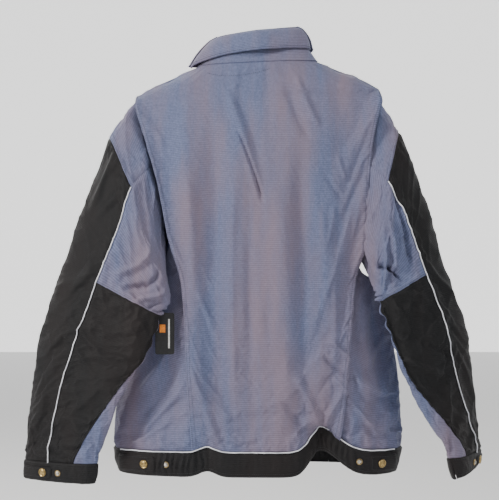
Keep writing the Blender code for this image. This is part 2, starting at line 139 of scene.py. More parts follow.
# Small functions on numbers and arrays


def smooth(t):
    t = np.clip(t, 0.0, 1.0)
    return t * t * (3 - 2 * t)


def mix(a, b, t):
    return a + (b - a) * t


def along(rows, at):
    """Reads (place, value) rows at many places at once, as one smooth curve, the same one as the part's."""
    rows = np.array(rows, float)
    places, values = rows[:, 0], rows[:, 1]
    at = np.clip(np.asarray(at, float), places[0], places[-1])
    i = np.clip(np.searchsorted(places, at, side="right") - 1, 0, len(places) - 2)
    slopes = np.diff(values) / np.diff(places)
    tangents = np.concatenate([[slopes[0]], (slopes[1:] + slopes[:-1]) / 2, [slopes[-1]]])
    step = places[i + 1] - places[i]
    t = (at - places[i]) / step
    return (
        (2 * t**3 - 3 * t**2 + 1) * values[i]
        + (t**3 - 2 * t**2 + t) * step * tangents[i]
        + (3 * t**2 - 2 * t**3) * values[i + 1]
        + (t**3 - t**2) * step * tangents[i + 1]
    )


def stack(*parts):
    return np.stack(np.broadcast_arrays(*parts), axis=-1)


def unit(v):
    return v / np.maximum(np.linalg.norm(v, axis=-1, keepdims=True), 1e-12)


LATTICE = np.random.default_rng(7).random((257, 257)) * 2 * PI


def noise(x, y):
    """Smooth 2D gradient noise, from about -1 to 1."""
    x, y = np.broadcast_arrays(np.asarray(x, float), np.asarray(y, float))
    x0, y0 = np.floor(x).astype(int), np.floor(y).astype(int)
    fx, fy = x - x0, y - y0
    total = []
    for dy in (0, 1):
        row = []
        for dx in (0, 1):
            turn = LATTICE[(y0 + dy) % 257, (x0 + dx) % 257]
            row.append(np.cos(turn) * (fx - dx) + np.sin(turn) * (fy - dy))
        total.append(mix(row[0], row[1], fx**3 * (fx * (fx * 6 - 15) + 10)))
    return 1.4 * mix(total[0], total[1], fy**3 * (fy * (fy * 6 - 15) + 10))


def ridges(x, y, sharp=1.6):
    """Narrow crests between wide hollows, as creased cloth has, from 0 to 1."""
    return (1 - np.abs(noise(x, y))) ** (2 * sharp)


def crease(x, z, start, end, width, bow=0.0):
    """A soft line from start to end, from 0 away from it to 1 on it, fading at both ends."""
    ax, az = start
    dx, dz = end[0] - ax, end[1] - az
    length = math.hypot(dx, dz)
    t = ((x - ax) * dx + (z - az) * dz) / length**2
    off = ((x - ax) * dz - (z - az) * dx) / length - bow * np.sin(PI * np.clip(t, 0, 1))
    return np.exp(-((off / width) ** 2)) * smooth(t / 0.25) * smooth((1 - t) / 0.25)


# The body's surface and its folds


def hang(x, y, z):
    lean = 0.045 * x * smooth((z + 0.13) / 0.13)
    near_hem = np.exp(-np.maximum(0.0, z - BAND_TOP_Z) / 0.05)
    peak_width = np.where(x > -0.112, 0.026, 0.045)
    lift = 0.044 * np.exp(-(((x + 0.112) / peak_width) ** 2)) + 0.010 * np.exp(-(((x - 0.089) / 0.02) ** 2))
    behind = y > 0
    z = z - lean + np.where(behind, lift * near_hem * smooth(y / 0.05), 0.0)
    y = y - np.where(behind, 0.6 * lift * near_hem, 0.0)
    return stack(x, y, z)


def plain_body(angle, z):
    s, c = np.sin(angle), np.cos(angle)
    reach = (np.abs(s) ** SQUARENESS + np.abs(c) ** SQUARENESS) ** (-1 / SQUARENESS)
    depth = np.where(c > 0, along(BACK_DEPTH, z), along(FRONT_DEPTH, z))
    return hang(along(HALF_WIDTH, z) * s * reach, depth * c * reach, z)


# The long soft folds of the back: where each starts and ends (x, z), its width, its height outwards, its bow
BACK_FOLDS = [
    ((0.066, -0.020), (-0.006, -0.250), 0.0090, 0.0060, 0.006),
    ((0.046, -0.030), (-0.020, -0.262), 0.0120, -0.0042, 0.006),
    ((0.040, -0.110), (-0.012, -0.262), 0.0032, -0.0075, 0.003),
    ((-0.066, -0.015), (-0.115, -0.125), 0.0060, 0.0060, -0.004),
    ((-0.050, -0.030), (-0.098, -0.150), 0.0080, -0.0050, -0.004),
    ((0.140, -0.050), (0.102, -0.700), 0.0190, 0.0095, 0.004),
    ((0.080, -0.070), (0.068, -0.700), 0.0190, -0.0110, 0.0),
    ((0.044, -0.180), (0.034, -0.680), 0.0080, 0.0045, -0.006),
    ((0.012, -0.240), (0.002, -0.690), 0.0100, -0.0045, -0.006),
    ((-0.034, -0.190), (-0.050, -0.700), 0.0200, 0.0095, 0.004),
    ((-0.078, -0.120), (-0.088, -0.660), 0.0150, -0.0110, -0.004),
    ((-0.112, -0.240), (-0.126, -0.500), 0.0110, 0.0070, 0.0),
    ((-0.142, -0.165), (-0.158, -0.215), 0.0040, 0.0040, 0.0),
    ((-0.118, -0.200), (-0.150, -0.250), 0.0040, -0.0035, 0.002),
    ((-0.136, -0.250), (-0.122, -0.330), 0.0045, 0.0040, 0.002),
    ((-0.128, -0.300), (-0.136, -0.560), 0.0080, 0.0065, 0.004),
    ((-0.118, -0.495), (-0.168, -0.540), 0.0040, 0.0065, 0.002),
    ((-0.112, -0.525), (-0.165, -0.575), 0.0045, -0.0060, 0.0),
    ((-0.128, -0.560), (-0.168, -0.606), 0.0040, 0.0055, 0.0),
    ((-0.060, -0.540), (-0.112, -0.690), 0.0070, 0.0080, 0.006),
    ((-0.040, -0.590), (-0.094, -0.700), 0.0070, -0.0060, 0.004),
    ((-0.148, -0.590), (-0.116, -0.690), 0.0065, 0.0075, -0.004),
    ((0.120, -0.540), (0.070, -0.690), 0.0070, 0.0060, 0.004),
    ((0.100, -0.600), (0.052, -0.700), 0.0060, -0.0045, 0.004),
    ((0.126, -0.180), (0.110, -0.420), 0.0090, 0.0045, 0.004),
]
# Creases of the side panels, which the sleeves push into
SIDE_FOLDS = [
    ((0.150, -0.480), (0.226, -0.600), 0.007, 0.0060, 0.008),
    ((0.140, -0.530), (0.235, -0.655), 0.008, -0.0055, 0.008),
    ((0.136, -0.590), (0.215, -0.672), 0.006, 0.0045, -0.004),
    ((0.150, -0.640), (0.232, -0.690), 0.005, 0.0040, 0.0),
    ((-0.162, -0.560), (-0.250, -0.600), 0.006, 0.0065, -0.006),
    ((-0.160, -0.590), (-0.245, -0.650), 0.008, -0.0055, 0.004),
    ((-0.165, -0.610), (-0.225, -0.680), 0.006, 0.0055, 0.004),
    ((-0.185, -0.640), (-0.250, -0.670), 0.005, 0.0045, 0.0),
    ((-0.175, -0.430), (-0.205, -0.560), 0.010, 0.0060, 0.004),
]


def body_folds(angle, z):
    """How far the cloth stands off the smooth body, from its folds, creases and gathers."""
    point = plain_body(angle, z)
    x, y = point[..., 0], point[..., 1]
    behind = smooth(y / 0.03 + 0.5)
    swell = 0.0034 * noise(x * 17 + 3, z * 4.5) + 0.0016 * noise(x * 38 + 9, z * 9 + 40)
    crumple = 0.0011 * ridges(x * 30 + z * 26, z * 18 - x * 12 + 5) * smooth((-0.30 - z) / 0.3)
    crumple += 0.0007 * ridges(x * 62 - z * 30 + 11, z * 40 + 3, 1.2)
    gathers = 0.0016 * np.sin(x * 330 + 5 * noise(x * 14, z * 6)) * np.exp(-np.abs(z - BAND_TOP_Z) / 0.022)
    total = swell + crumple + gathers * (0.5 + 0.5 * noise(x * 9 + 70, 3.0))
    for start, end, width, height, bow in BACK_FOLDS + SIDE_FOLDS:
        total = total + behind * height * crease(x, z, start, end, width, bow)
    front = 1 - behind
    total = total + front * 0.0022 * noise(x * 21 + 50, z * 7 + 13)
    calm_neck = smooth((0.004 - z) / 0.05)
    calm_band = 1 - 0.55 * smooth((BAND_TOP_Z + 0.004 - z) / 0.01)
    right_side = 0.030 * np.exp(-(((angle + SIDE) / 0.32) ** 2)) * np.exp(-(((z + 0.46) / 0.15) ** 2))
    return total * calm_neck * calm_band + right_side


def body(angle, z, proud=0.0, folded=True):
    step = 1e-3
    angle, z = np.broadcast_arrays(np.asarray(angle, float), np.asarray(z, float))
    across = plain_body(angle + step, z) - plain_body(angle - step, z)
    up = plain_body(angle, z + step) - plain_body(angle, z - step)
    outwards = unit(np.cross(up, across))
    lift = proud + (body_folds(angle, z) if folded else 0.0)
    return plain_body(angle, z) + outwards * np.asarray(lift)[..., None]


def angle_of(x, z, front=False):
    x, z = np.broadcast_arrays(np.asarray(x, float), np.asarray(z, float))
    share = np.clip(np.abs(x) / along(HALF_WIDTH, z), 0, 0.9999999) ** SQUARENESS
    angle = np.where(share > 0.9999, SIDE, np.arctan((share / (1 - share)) ** (1 / SQUARENESS)))
    return np.copysign(PI - angle if front else angle, x)


def front_neck_height(share):
    return -FRONT_NECK_DROP * smooth(share) ** 1.3


def front_edge(z):
    return angle_of(along(FRONT_EDGE, z), z, front=True)


def back_edge(side, z):
    rows = BACK_EDGE_LEFT if side > 0 else BACK_EDGE_RIGHT
    return side * np.where(z < SHOULDER_Z, angle_of(along(rows, z), z), SIDE)


def armhole_edge(z):
    inside = (z > ARMPIT_Z) & (z < SHOULDER_Z)
    return np.where(inside, angle_of(along(ARMHOLE_FRONT, z), z, front=True), SIDE)


# The sleeves' surface and their folds


def read_points(points, at):
    return stack(*[along([(p, q[k]) for p, q in zip(PLACES, points)], at) for k in range(3)])


def plain_sleeve(side, turn, place):
    turn, place = np.broadcast_arrays(np.asarray(turn, float), np.asarray(place, float))
    c, s = np.cos(turn), np.sin(turn)
    reach = (np.abs(s) ** SLEEVE_SQUARENESS + np.abs(c) ** SLEEVE_SQUARENESS) ** (-1 / SLEEVE_SQUARENESS)
    onto_body = ARMHOLE_CURVE * np.abs(s) ** 1.5 * (1 - smooth(place / CAP_SEAM))
    sign = 1 if side == "left" else -1
    shift = stack(-sign * onto_body, 0.0, 0.0)
    outer, inner = read_points(OUTER[side], place) + shift, read_points(INNER[side], place) + shift
    behind = along(list(zip(PLACES, BACK_HALF[side])), place)
    before = along(list(zip(PLACES, FRONT_HALF[side])), place)
    flat = outer - inner
    length = (flat**2).sum(-1)
    backwards = unit(np.array([0.0, 1.0, 0.0]) - flat * (flat[..., 1] / length)[..., None])
    half = s * reach * np.where(s > 0, behind, before)
    return (outer + inner) / 2 + flat * (c * reach / 2)[..., None] + backwards * half[..., None]


# Folds of each sleeve: place and share across its width where each starts and ends, width, height, bow
SLEEVE_FOLDS = {
    "left": [
        ((0.16, 0.22), (0.47, 0.52), 0.022, 0.0120, 0.05),
        ((0.20, 0.10), (0.48, 0.38), 0.020, -0.0110, 0.05),
        ((0.26, 0.02), (0.49, 0.24), 0.018, 0.0120, 0.03),
        ((0.34, 0.00), (0.50, 0.12), 0.014, -0.0090, 0.0),
        ((0.42, 0.02), (0.56, 0.50), 0.016, 0.0040, 0.02),
        ((0.54, 0.05), (0.62, 0.45), 0.016, 0.0050, 0.02),
        ((0.58, 0.30), (0.70, 0.95), 0.018, 0.0035, 0.0),
        ((0.48, 0.62), (0.56, 0.98), 0.018, 0.0045, 0.0),
        ((0.68, 0.05), (0.74, 0.60), 0.014, 0.0040, -0.02),
        ((0.80, 0.20), (0.88, 0.80), 0.014, 0.0035, 0.02),
        ((0.90, 0.10), (0.93, 0.90), 0.010, 0.0030, 0.0),
    ],
    "right": [
        ((0.16, 0.45), (0.44, 0.16), 0.022, 0.0120, -0.03),
        ((0.18, 0.62), (0.48, 0.44), 0.020, -0.0100, 0.0),
        ((0.24, 0.28), (0.50, 0.02), 0.018, 0.0130, 0.02),
        ((0.20, 0.06), (0.48, 0.30), 0.016, -0.0160, 0.0),
        ((0.48, 0.02), (0.58, 0.60), 0.016, 0.0055, 0.0),
        ((0.56, 0.00), (0.62, 0.55), 0.016, 0.0070, -0.02),
        ((0.63, 0.00), (0.72, 0.65), 0.016, -0.0060, 0.0),
        ((0.70, 0.00), (0.76, 0.50), 0.014, 0.0075, 0.02),
        ((0.78, 0.05), (0.90, 0.60), 0.014, 0.0050, 0.0),
        ((0.46, 0.60), (0.60, 0.98), 0.018, 0.0040, 0.0),
        ((0.88, 0.20), (0.93, 0.90), 0.010, 0.0030, 0.0),
    ],
}


def sleeve_folds(side, turn, place):
    share = (1 + np.cos(turn)) / 2
    behind = smooth(np.sin(turn) * 2 + 0.5)
    seed = 0 if side == "left" else 31
    round_it = np.sin(turn) * 1.3
    total = 0.0022 * noise(place * 9 + seed, share * 3.2 + round_it + seed)
    wide = ridges(place * 12 + share * 3 + seed, share * 2.4 - place * 4 + round_it + 5)
    narrow = ridges(place * 30 - share * 5 + seed, share * 5 + place * 7 + round_it, 1.2)
    total = total + 0.0030 * (wide - 0.4)
    total = total + 0.0014 * (narrow - 0.4)
    for start, end, width, height, bow in SLEEVE_FOLDS[side]:
        total = total + behind * height * crease(place, share, start, end, width, bow)
    inner_edge = 1 - smooth(share / 0.14)
    total = total * (1 - 0.8 * inner_edge) - (0.008 if side == "right" else 0.002) * inner_edge * behind
    near_elbow = np.exp(-(((place - 0.52) / 0.16) ** 2))
    total = total - 0.024 * np.exp(-((place / 0.035) ** 2)) * smooth(np.sin(turn) * 1.6 - 0.1)
    total = total + 0.007 * np.sin(PI * np.clip(place, 0, 1)) * smooth(np.cos(turn))
    rings = np.sin(place * 95 + 4 * share + 2 * noise(place * 8, share * 3))
    total = total + (1 - behind) * 0.0035 * near_elbow * rings
    return total * smooth(place / 0.05 + 0.2) * (1 - 0.6 * smooth((place - CUFF_SEAM + 0.02) / 0.02))


def sleeve(side, turn, place, proud=0.0):
    step = 1e-3
    turn, place = np.broadcast_arrays(np.asarray(turn, float), np.asarray(place, float))
    point = plain_sleeve(side, turn, place)
    across = plain_sleeve(side, turn + step, place) - plain_sleeve(side, turn - step, place)
    down = plain_sleeve(side, turn, place + step) - plain_sleeve(side, turn, place - step)
    outwards = unit(np.cross(across, down))
    middle = (plain_sleeve(side, 0.0, place) + plain_sleeve(side, PI, place)) / 2
    facing = np.sign(((point - middle) * outwards).sum(-1, keepdims=True))
    lift = proud + sleeve_folds(side, turn, place)
    return point + outwards * facing * np.asarray(lift)[..., None]


# Materials


def new_material(name):
    made = bpy.data.materials.new(name)
    made.use_nodes = True
    nodes, links = made.node_tree.nodes, made.node_tree.links
    return made, nodes, links, nodes["Principled BSDF"]


def preset(node, **values):
    """Sets a node's inputs by name, with an underscore for each space."""
    for name, value in values.items():
        node.inputs[name.replace("_", " ")].default_value = value


def feed(links, value, socket):
    """A constant goes directly on the socket, and another node's output is linked to it."""
    if isinstance(value, (int, float, tuple)):
        socket.default_value = value
    else:
        links.new(value, socket)


def mapped(nodes, links, scale, source="UV"):
    place = nodes.new("ShaderNodeTexCoord")
    scaled = nodes.new("ShaderNodeMapping")
    preset(scaled, Scale=scale)
    links.new(place.outputs[source], scaled.inputs["Vector"])
    return scaled.outputs["Vector"]


def noise_node(nodes, links, scale, detail=4.0, roughness=0.55, source="Object"):
    made = nodes.new("ShaderNodeTexNoise")
    preset(made, Scale=1.0, Detail=detail, Roughness=roughness)
    scale = scale if isinstance(scale, tuple) else (scale,) * 3
    links.new(mapped(nodes, links, scale, source), made.inputs["Vector"])
    return made.outputs["Fac"]


def ramp_node(nodes, links, factor, stops):
    made = nodes.new("ShaderNodeValToRGB")
    ramp = made.color_ramp
    while len(ramp.elements) < len(stops):
        ramp.elements.new(0.5)
    for element, (place, colour) in zip(ramp.elements, stops):
        element.position = place
        element.color = (*colour, 1)
    links.new(factor, made.inputs["Fac"])
    return made.outputs["Color"]


def math_node(nodes, links, operation, *values):
    made = nodes.new("ShaderNodeMath")
    made.operation = operation
    for socket, value in zip(made.inputs, values):
        feed(links, value, socket)
    return made.outputs["Value"]


def range_node(nodes, links, value, **limits):
    made = nodes.new("ShaderNodeMapRange")
    preset(made, **limits)
    links.new(value, made.inputs["Value"])
    return made.outputs["Result"]


def mix_node(nodes, links, blend, factor, a, b):
    """Mixes two colours, whose sockets are the mix node's seventh and eighth."""
    made = nodes.new("ShaderNodeMix")
    made.data_type = "RGBA"
    made.blend_type = blend
    for place, value in ((0, factor), (6, a), (7, b)):
        feed(links, value, made.inputs[place])
    return made.outputs[2]


def bump_node(nodes, links, height, strength, distance, under=None):
    made = nodes.new("ShaderNodeBump")
    preset(made, Strength=strength, Distance=distance)
    links.new(height, made.inputs["Height"])
    if under is not None:
        links.new(under, made.inputs["Normal"])
    return made.outputs["Normal"]


TWILL_PITCH = 0.0016
RIB_PITCH = 0.0034


def twill(name, dark, light, tint, roughness, sheen):
    """Woven cloth: diagonal twill over horizontal ribs, with slow changes of colour, a dusty bloom, and
    painted shade in the weave's grooves with painted highlight on its crests.
    """
    made, nodes, links, shader = new_material(name)

    def combine(operation, *values):
        return math_node(nodes, links, operation, *values)

    broad = noise_node(nodes, links, (15, 4, 2.6))
    base = ramp_node(nodes, links, noise_node(nodes, links, 260, 3.0, 0.7), [(0.25, dark), (0.75, light)])
    share = range_node(nodes, links, broad, From_Min=0.42, From_Max=0.68, To_Max=0.65)
    tinted = mix_node(nodes, links, "MIX", share, base, (*tint, 1))
    separate = nodes.new("ShaderNodeSeparateXYZ")
    links.new(mapped(nodes, links, (1, 1, 1)), separate.inputs["Vector"])
    x, y = separate.outputs["X"], separate.outputs["Y"]
    twill_wave = combine("SINE", combine("MULTIPLY", combine("ADD", x, y), 2 * PI / TWILL_PITCH))
    rib_wave = combine("SINE", combine("MULTIPLY", y, 2 * PI / RIB_PITCH))
    yarn = noise_node(nodes, links, (900, 240, 1), 2.0, 0.6, "UV")
    height = combine("ADD", combine("MULTIPLY", twill_wave, 0.30), combine("MULTIPLY", rib_wave, 0.75))
    height = combine("ADD", height, combine("MULTIPLY", yarn, 1.1))
    # Painted shade and highlight: the colour is darkened in the grooves of the twill and ribs and lightened
    # on their crests, by the same height as the bump; the yarn noise in it is real yarn tone.
    shade = range_node(nodes, links, height, From_Min=-0.7, From_Max=1.6, To_Min=0.72, To_Max=1.20)
    links.new(mix_node(nodes, links, "MULTIPLY", 1.0, tinted, shade), shader.inputs["Base Color"])
    soft = bump_node(nodes, links, noise_node(nodes, links, 60, 6.0, 0.6), 0.5, 0.002)
    links.new(bump_node(nodes, links, height, 0.35, 0.0006, soft), shader.inputs["Normal"])
    preset(shader, Roughness=roughness, Sheen_Weight=sheen, Sheen_Roughness=0.45, Specular_IOR_Level=0.25)
    return made


def thread(name, colour):
    made, nodes, links, shader = new_material(name)
    strands = noise_node(nodes, links, 1500, 2.0)
    darker = tuple(0.6 * c for c in colour)
    links.new(ramp_node(nodes, links, strands, [(0.3, darker), (0.7, colour)]), shader.inputs["Base Color"])
    preset(shader, Roughness=0.6)
    return made


def piping_material():
    made, nodes, links, shader = new_material("silver_piping")
    soil = noise_node(nodes, links, 40, 6.0)
    colour = ramp_node(nodes, links, soil, [(0.3, (0.50, 0.51, 0.56)), (0.62, (0.80, 0.81, 0.86))])
    links.new(colour, shader.inputs["Base Color"])
    grain = noise_node(nodes, links, 900)
    links.new(bump_node(nodes, links, grain, 0.3, 0.0004), shader.inputs["Normal"])
    preset(shader, Roughness=0.42)
    return made


def brass_material(name, bright, dull):
    made, nodes, links, shader = new_material(name)
    tarnish = noise_node(nodes, links, 420, 5.0, 0.6)
    links.new(ramp_node(nodes, links, tarnish, [(0.36, dull), (0.62, bright)]), shader.inputs["Base Color"])
    links.new(range_node(nodes, links, tarnish, To_Min=0.52, To_Max=0.28), shader.inputs["Roughness"])
    links.new(bump_node(nodes, links, tarnish, 0.25, 0.0003), shader.inputs["Normal"])
    preset(shader, Metallic=1.0)
    return made


def card_material(name, colour):
    made, nodes, links, shader = new_material(name)
    grain = noise_node(nodes, links, 300)
    lighter = tuple(min(1.0, 1.5 * c + 0.004) for c in colour)
    links.new(ramp_node(nodes, links, grain, [(0.35, colour), (0.7, lighter)]), shader.inputs["Base Color"])
    preset(shader, Roughness=0.38)
    return made


GREY = twill(
    "grey_twill_cloth", (0.088, 0.106, 0.190), (0.150, 0.172, 0.288), (0.225, 0.160, 0.190), 0.84, 0.12
)
BLACK = twill(
    "black_twill_cloth", (0.0030, 0.0031, 0.0038), (0.0085, 0.0085, 0.0100), (0.013, 0.009, 0.009), 0.66, 0.03
)
GREY_THREAD = thread("grey_thread", (0.060, 0.068, 0.110))
BLACK_THREAD = thread("black_thread", (0.020, 0.020, 0.023))
PIPING = piping_material()
BRASS = brass_material("antique_brass", (0.46, 0.34, 0.15), (0.20, 0.135, 0.055))
STEEL = brass_material("snap_spring", (0.62, 0.60, 0.55), (0.34, 0.32, 0.28))
CARD = card_material("tag_card_black", (0.008, 0.008, 0.009))
CARD_ORANGE = card_material("tag_card_orange", (0.70, 0.20, 0.015))
CARD_PALE = card_material("tag_card_pale", (0.62, 0.62, 0.60))

# Building pieces


class Piece:
    """Collects the sheets, stitches and tubes that make one piece, each with its material and UVs."""

    def __init__(self, name, materials):
        self.name, self.materials = name, materials
        self.points, self.faces, self.slots, self.uvs = [], [], [], []
        self.count = 0
        self.middle = np.array([0.0, 0.0, -0.4])

    def add(self, points, faces, slot, uv=None):
        points = np.asarray(points, float).reshape(-1, 3)
        uv = points[:, [0, 2]] if uv is None else np.asarray(uv, float).reshape(-1, 2)
        self.points.append(points)
        self.uvs.append(uv)
        self.faces += [[self.count + i for i in face] for face in faces]
        self.slots += [slot] * len(faces)
        self.count += len(points)

    def sheet(self, grid, thickness):
        """A sheet of cloth from its outer face's points, rows by columns, thickened inwards."""
        rows, columns = grid.shape[:2]
        outwards = unit(np.cross(np.gradient(grid, axis=1), np.gradient(grid, axis=0)))
        if ((grid - self.middle) * outwards).sum() < 0:
            outwards = -outwards
        dipped = grid.copy()
        for edge, share in ((0, 0.0013), (1, 0.0003)):
            for border in (np.s_[edge], np.s_[-1 - edge], np.s_[:, edge], np.s_[:, -1 - edge]):
                dipped[border] -= outwards[border] * share
        grid = dipped
        inner = grid - outwards * thickness
        run = np.linalg.norm(np.diff(grid, axis=1), axis=2).mean(0)
        rise = np.linalg.norm(np.diff(grid, axis=0), axis=2).mean(1)
        across, upwards = (np.concatenate([[0], np.cumsum(steps)]) for steps in (run, rise))
        uv = stack(across[None, :], upwards[:, None])
        spots, facing = grid.reshape(-1, 3), outwards.reshape(-1, 3)
        index = np.arange(rows * columns).reshape(rows, columns)
        quads = stack(index[:-1, :-1], index[:-1, 1:], index[1:, 1:], index[1:, :-1]).reshape(-1, 4)
        first, second, third = (spots[quads[:, k]] for k in range(3))
        if (np.cross(second - first, third - second) * facing[quads[:, 0]]).sum() < 0:
            quads = quads[:, ::-1]
        far = rows * columns
        rim = np.concatenate([index[0, :], index[1:, -1], index[-1, -2::-1], index[-2:0:-1, 0]])
        edge = stack(rim, np.roll(rim, -1), np.roll(rim, -1) + far, rim + far).reshape(-1, 4)
        start = spots[edge[:, 0]]
        away = np.cross(spots[edge[:, 1]] - start, -facing[edge[:, 0]])
        if (away * (start - spots.mean(0))).sum() < 0:
            edge = edge[:, ::-1]
        faces = np.concatenate([quads, quads[:, ::-1] + far, edge])
        points = np.concatenate([spots, inner.reshape(-1, 3)])
        self.add(points, faces.tolist(), 0, np.concatenate([uv.reshape(-1, 2)] * 2))
        self.cut = cut_size(grid, 0.0)
        self.grid, self.outwards = grid, outwards

    def draped_sheet(self, grid, thickness, ease, cap, frames=16):
        """A sheet that is cut larger than the plain panel by its ease, and then settles between its seams."""
        self.sheet(drape(grid, ease, cap, frames), thickness)
        self.cut = cut_size(grid, ease)

    def sew(self, u, v):
        """A row of stitches on the sheet made last, along shares u of its columns and v of its rows."""
        rows, columns = self.grid.shape[:2]
        u, v = np.broadcast_arrays(np.clip(u, 0, 1) * (columns - 1), np.clip(v, 0, 1) * (rows - 1))
        i, j = np.minimum(u.astype(int), columns - 2), np.minimum(v.astype(int), rows - 2)
        fu, fv = (u - i)[:, None], (v - j)[:, None]

        def read(values):
            low = mix(values[j, i], values[j, i + 1], fu)
            return mix(low, mix(values[j + 1, i], values[j + 1, i + 1], fu), fv)

        outwards = unit(read(self.outwards))
        self.stitches(read(self.grid) + outwards * 0.0002, outwards)

    def sew_border(self, border, insets, first=0.0, last=1.0):
        """Rows of stitches along one border of the sheet, each an inset in metres from it."""
        run = np.linspace(first, last, 300)
        steps_u = np.linalg.norm(np.diff(self.grid, axis=1), axis=2).sum(1)
        steps_v = np.linalg.norm(np.diff(self.grid, axis=0), axis=2).sum(0)
        for inset in insets:
            if border in ("left", "right"):
                share = inset / np.interp(run, np.linspace(0, 1, len(steps_u)), steps_u)
                self.sew(share if border == "left" else 1 - share, run)
            else:
                share = inset / np.interp(run, np.linspace(0, 1, len(steps_v)), steps_v)
                self.sew(run, share if border == "low" else 1 - share)

    def stitches(self, line, outwards):
        """A row of stitches along a line of points, each a small raised bead lying on the cloth."""
        steps = np.linalg.norm(np.diff(line, axis=0), axis=1)
        run = np.concatenate([[0], np.cumsum(steps)])
        starts = np.arange(0.001, run[-1] - STITCH_LENGTH, STITCH_LENGTH + STITCH_GAP)
        if not len(starts):
            return

        def read(values, at):
            return stack(*[np.interp(at, run, values[:, k]) for k in range(3)])

        a, b = read(line, starts), read(line, starts + STITCH_LENGTH)
        up = unit(read(outwards, starts + STITCH_LENGTH / 2))
        ahead = unit(b - a)
        across = unit(np.cross(up, ahead)) * STITCH_WIDTH / 2
        lift = up * STITCH_HEIGHT
        slope = ahead * STITCH_LENGTH * 0.2
        top_a, top_b = a + slope + lift, b - slope + lift
        low = up * 0.0004
        ring = [a - across - low, a + across - low, b + across - low, b - across - low]
        top = [top_a - across * 0.5, top_a + across * 0.5, top_b + across * 0.5, top_b - across * 0.5]
        points = np.stack(ring + top, axis=1).reshape(-1, 3)
        faces = [[8 * k + i for i in face] for k in range(len(starts)) for face in BOX_FACES]
        self.add(points, faces, 1)

    def tube(self, line, radius, slot, sides=10):
        line = np.asarray(line, float)
        ahead = unit(np.gradient(line, axis=0))
        side = unit(np.cross(ahead, np.array([0.13, 0.97, 0.21])))
        up = np.cross(side, ahead)
        turn = np.arange(sides) * 2 * PI / sides
        ring = line[:, None] + radius * (
            side[:, None] * np.cos(turn)[None, :, None] + up[:, None] * np.sin(turn)[None, :, None]
        )
        n = len(line)
        faces = []
        for k in range(n - 1):
            for i in range(sides):
                j = (i + 1) % sides
                faces.append([k * sides + i, k * sides + j, (k + 1) * sides + j, (k + 1) * sides + i])
        faces.append(list(range(sides))[::-1])
        faces.append([(n - 1) * sides + i for i in range(sides)])
        self.add(ring, faces, slot)

    def turned(self, point, outwards, profile, slot):
        """A profile of (radius, height) turned about the outward direction, such as a snap's cap."""
        segments = 28
        outwards = unit(np.asarray(outwards, float))
        side = unit(np.cross(outwards, np.array([0.31, 0.17, 0.94])))
        up = np.cross(outwards, side)
        turn = np.arange(segments) * 2 * PI / segments
        circle = side * np.cos(turn)[:, None] + up * np.sin(turn)[:, None]
        rings = [point + outwards * h + r * circle for r, h in profile]
        faces = []
        for k in range(len(profile) - 1):
            for i in range(segments):
                j = (i + 1) % segments
                low, high = k * segments, (k + 1) * segments
                faces.append([low + i, high + i, high + j, low + j])
        faces.append(list(range(segments)))
        faces.append([(len(profile) - 1) * segments + i for i in range(segments)][::-1])
        self.add(np.concatenate(rings), faces, slot)

    def build(self):
        mesh = bpy.data.meshes.new(self.name)
        mesh.from_pydata(np.concatenate(self.points).tolist(), [], self.faces)
        for material in self.materials:
            mesh.materials.append(material)
        mesh.polygons.foreach_set("material_index", self.slots)
        layer = mesh.uv_layers.new(name="UVMap")
        corners = np.empty(len(mesh.loops), np.int32)
        mesh.loops.foreach_get("vertex_index", corners)
        layer.data.foreach_set("uv", np.concatenate(self.uvs)[corners].astype(np.float32).ravel())
        mesh.shade_smooth()
        mesh.set_sharp_from_angle(angle=math.radians(50))
        mesh.validate()
        made = bpy.data.objects.new(self.name, mesh)
        bpy.context.scene.collection.objects.link(made)
        return made


def bend_line(body_name, kind):
    """Where cloth that crosses onto a body starts and stops bending: two ends of a line across the bend."""
    side = 1 if body_name.endswith("left") else -1
    if kind == "armhole":
        across = unit(np.array([side, 1.0, -0.06]))
        start = np.array([0.217 * side, 0.0, -0.055]) + across * (0.008 if side > 0 else 0.018)
        return start, start + across * 0.045
    if kind == "neck":
        return np.array([0, -0.003, 0]), np.array([0, -0.034, 0])
    start = np.array([0.135 * side, 0.0, HEM_Z])
    return start, start - np.array([side, 0.0, 0.0364]) * 0.024


def place_piece(piece, body_name, replaced=(), bends=None):
    """Builds the piece, and makes it ride on its body; where it crosses onto that body from the torso, it is
    left unparented.
    """
    made = piece.build()
    if bends:
        start, end = bend_line(body_name, bends)
        tuple(start)
        tuple(end)
        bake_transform(made)
    else:
        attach(made, body_name)
    if replaced:
        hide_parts(*replaced)
    return made


def cut_size(grid, ease):
    """A panel's width, length and area as cut: those of its surface before it settles, larger by the ease."""
    across, upwards = np.diff(grid, axis=1), np.diff(grid, axis=0)
    width = np.linalg.norm(across, axis=2).sum(1).mean()
    length = np.linalg.norm(upwards, axis=2).sum(0).mean()
    area = np.linalg.norm(np.cross(across[:-1], upwards[:, :-1]), axis=2).sum()
    return float(width * (1 + ease)), float(length * (1 + ease)), float(area * (1 + ease) ** 2)


def place_cloth(piece, body_name, replaced, bends=None):
    made = place_piece(piece, body_name, [replaced], bends)
    width, length, area = piece.cut
    min(area, width * length)


def spread_out(values, kept, count):
    """Values at some rows, spread smoothly over all the rows between them."""
    place = np.interp(np.arange(count), kept, np.arange(len(kept)))
    i = np.clip(place.astype(int), 0, len(kept) - 2)
    t = (place - i)[:, None, None]
    before, after = np.clip(i - 1, 0, None), np.clip(i + 2, None, len(kept) - 1)
    a, b, c, d = values[before], values[i], values[i + 1], values[after]
    return b + t * (c - a) / 2 + t**2 * (a - 2.5 * b + 2 * c - d / 2) + t**3 * (1.5 * (b - c) + (d - a) / 2)


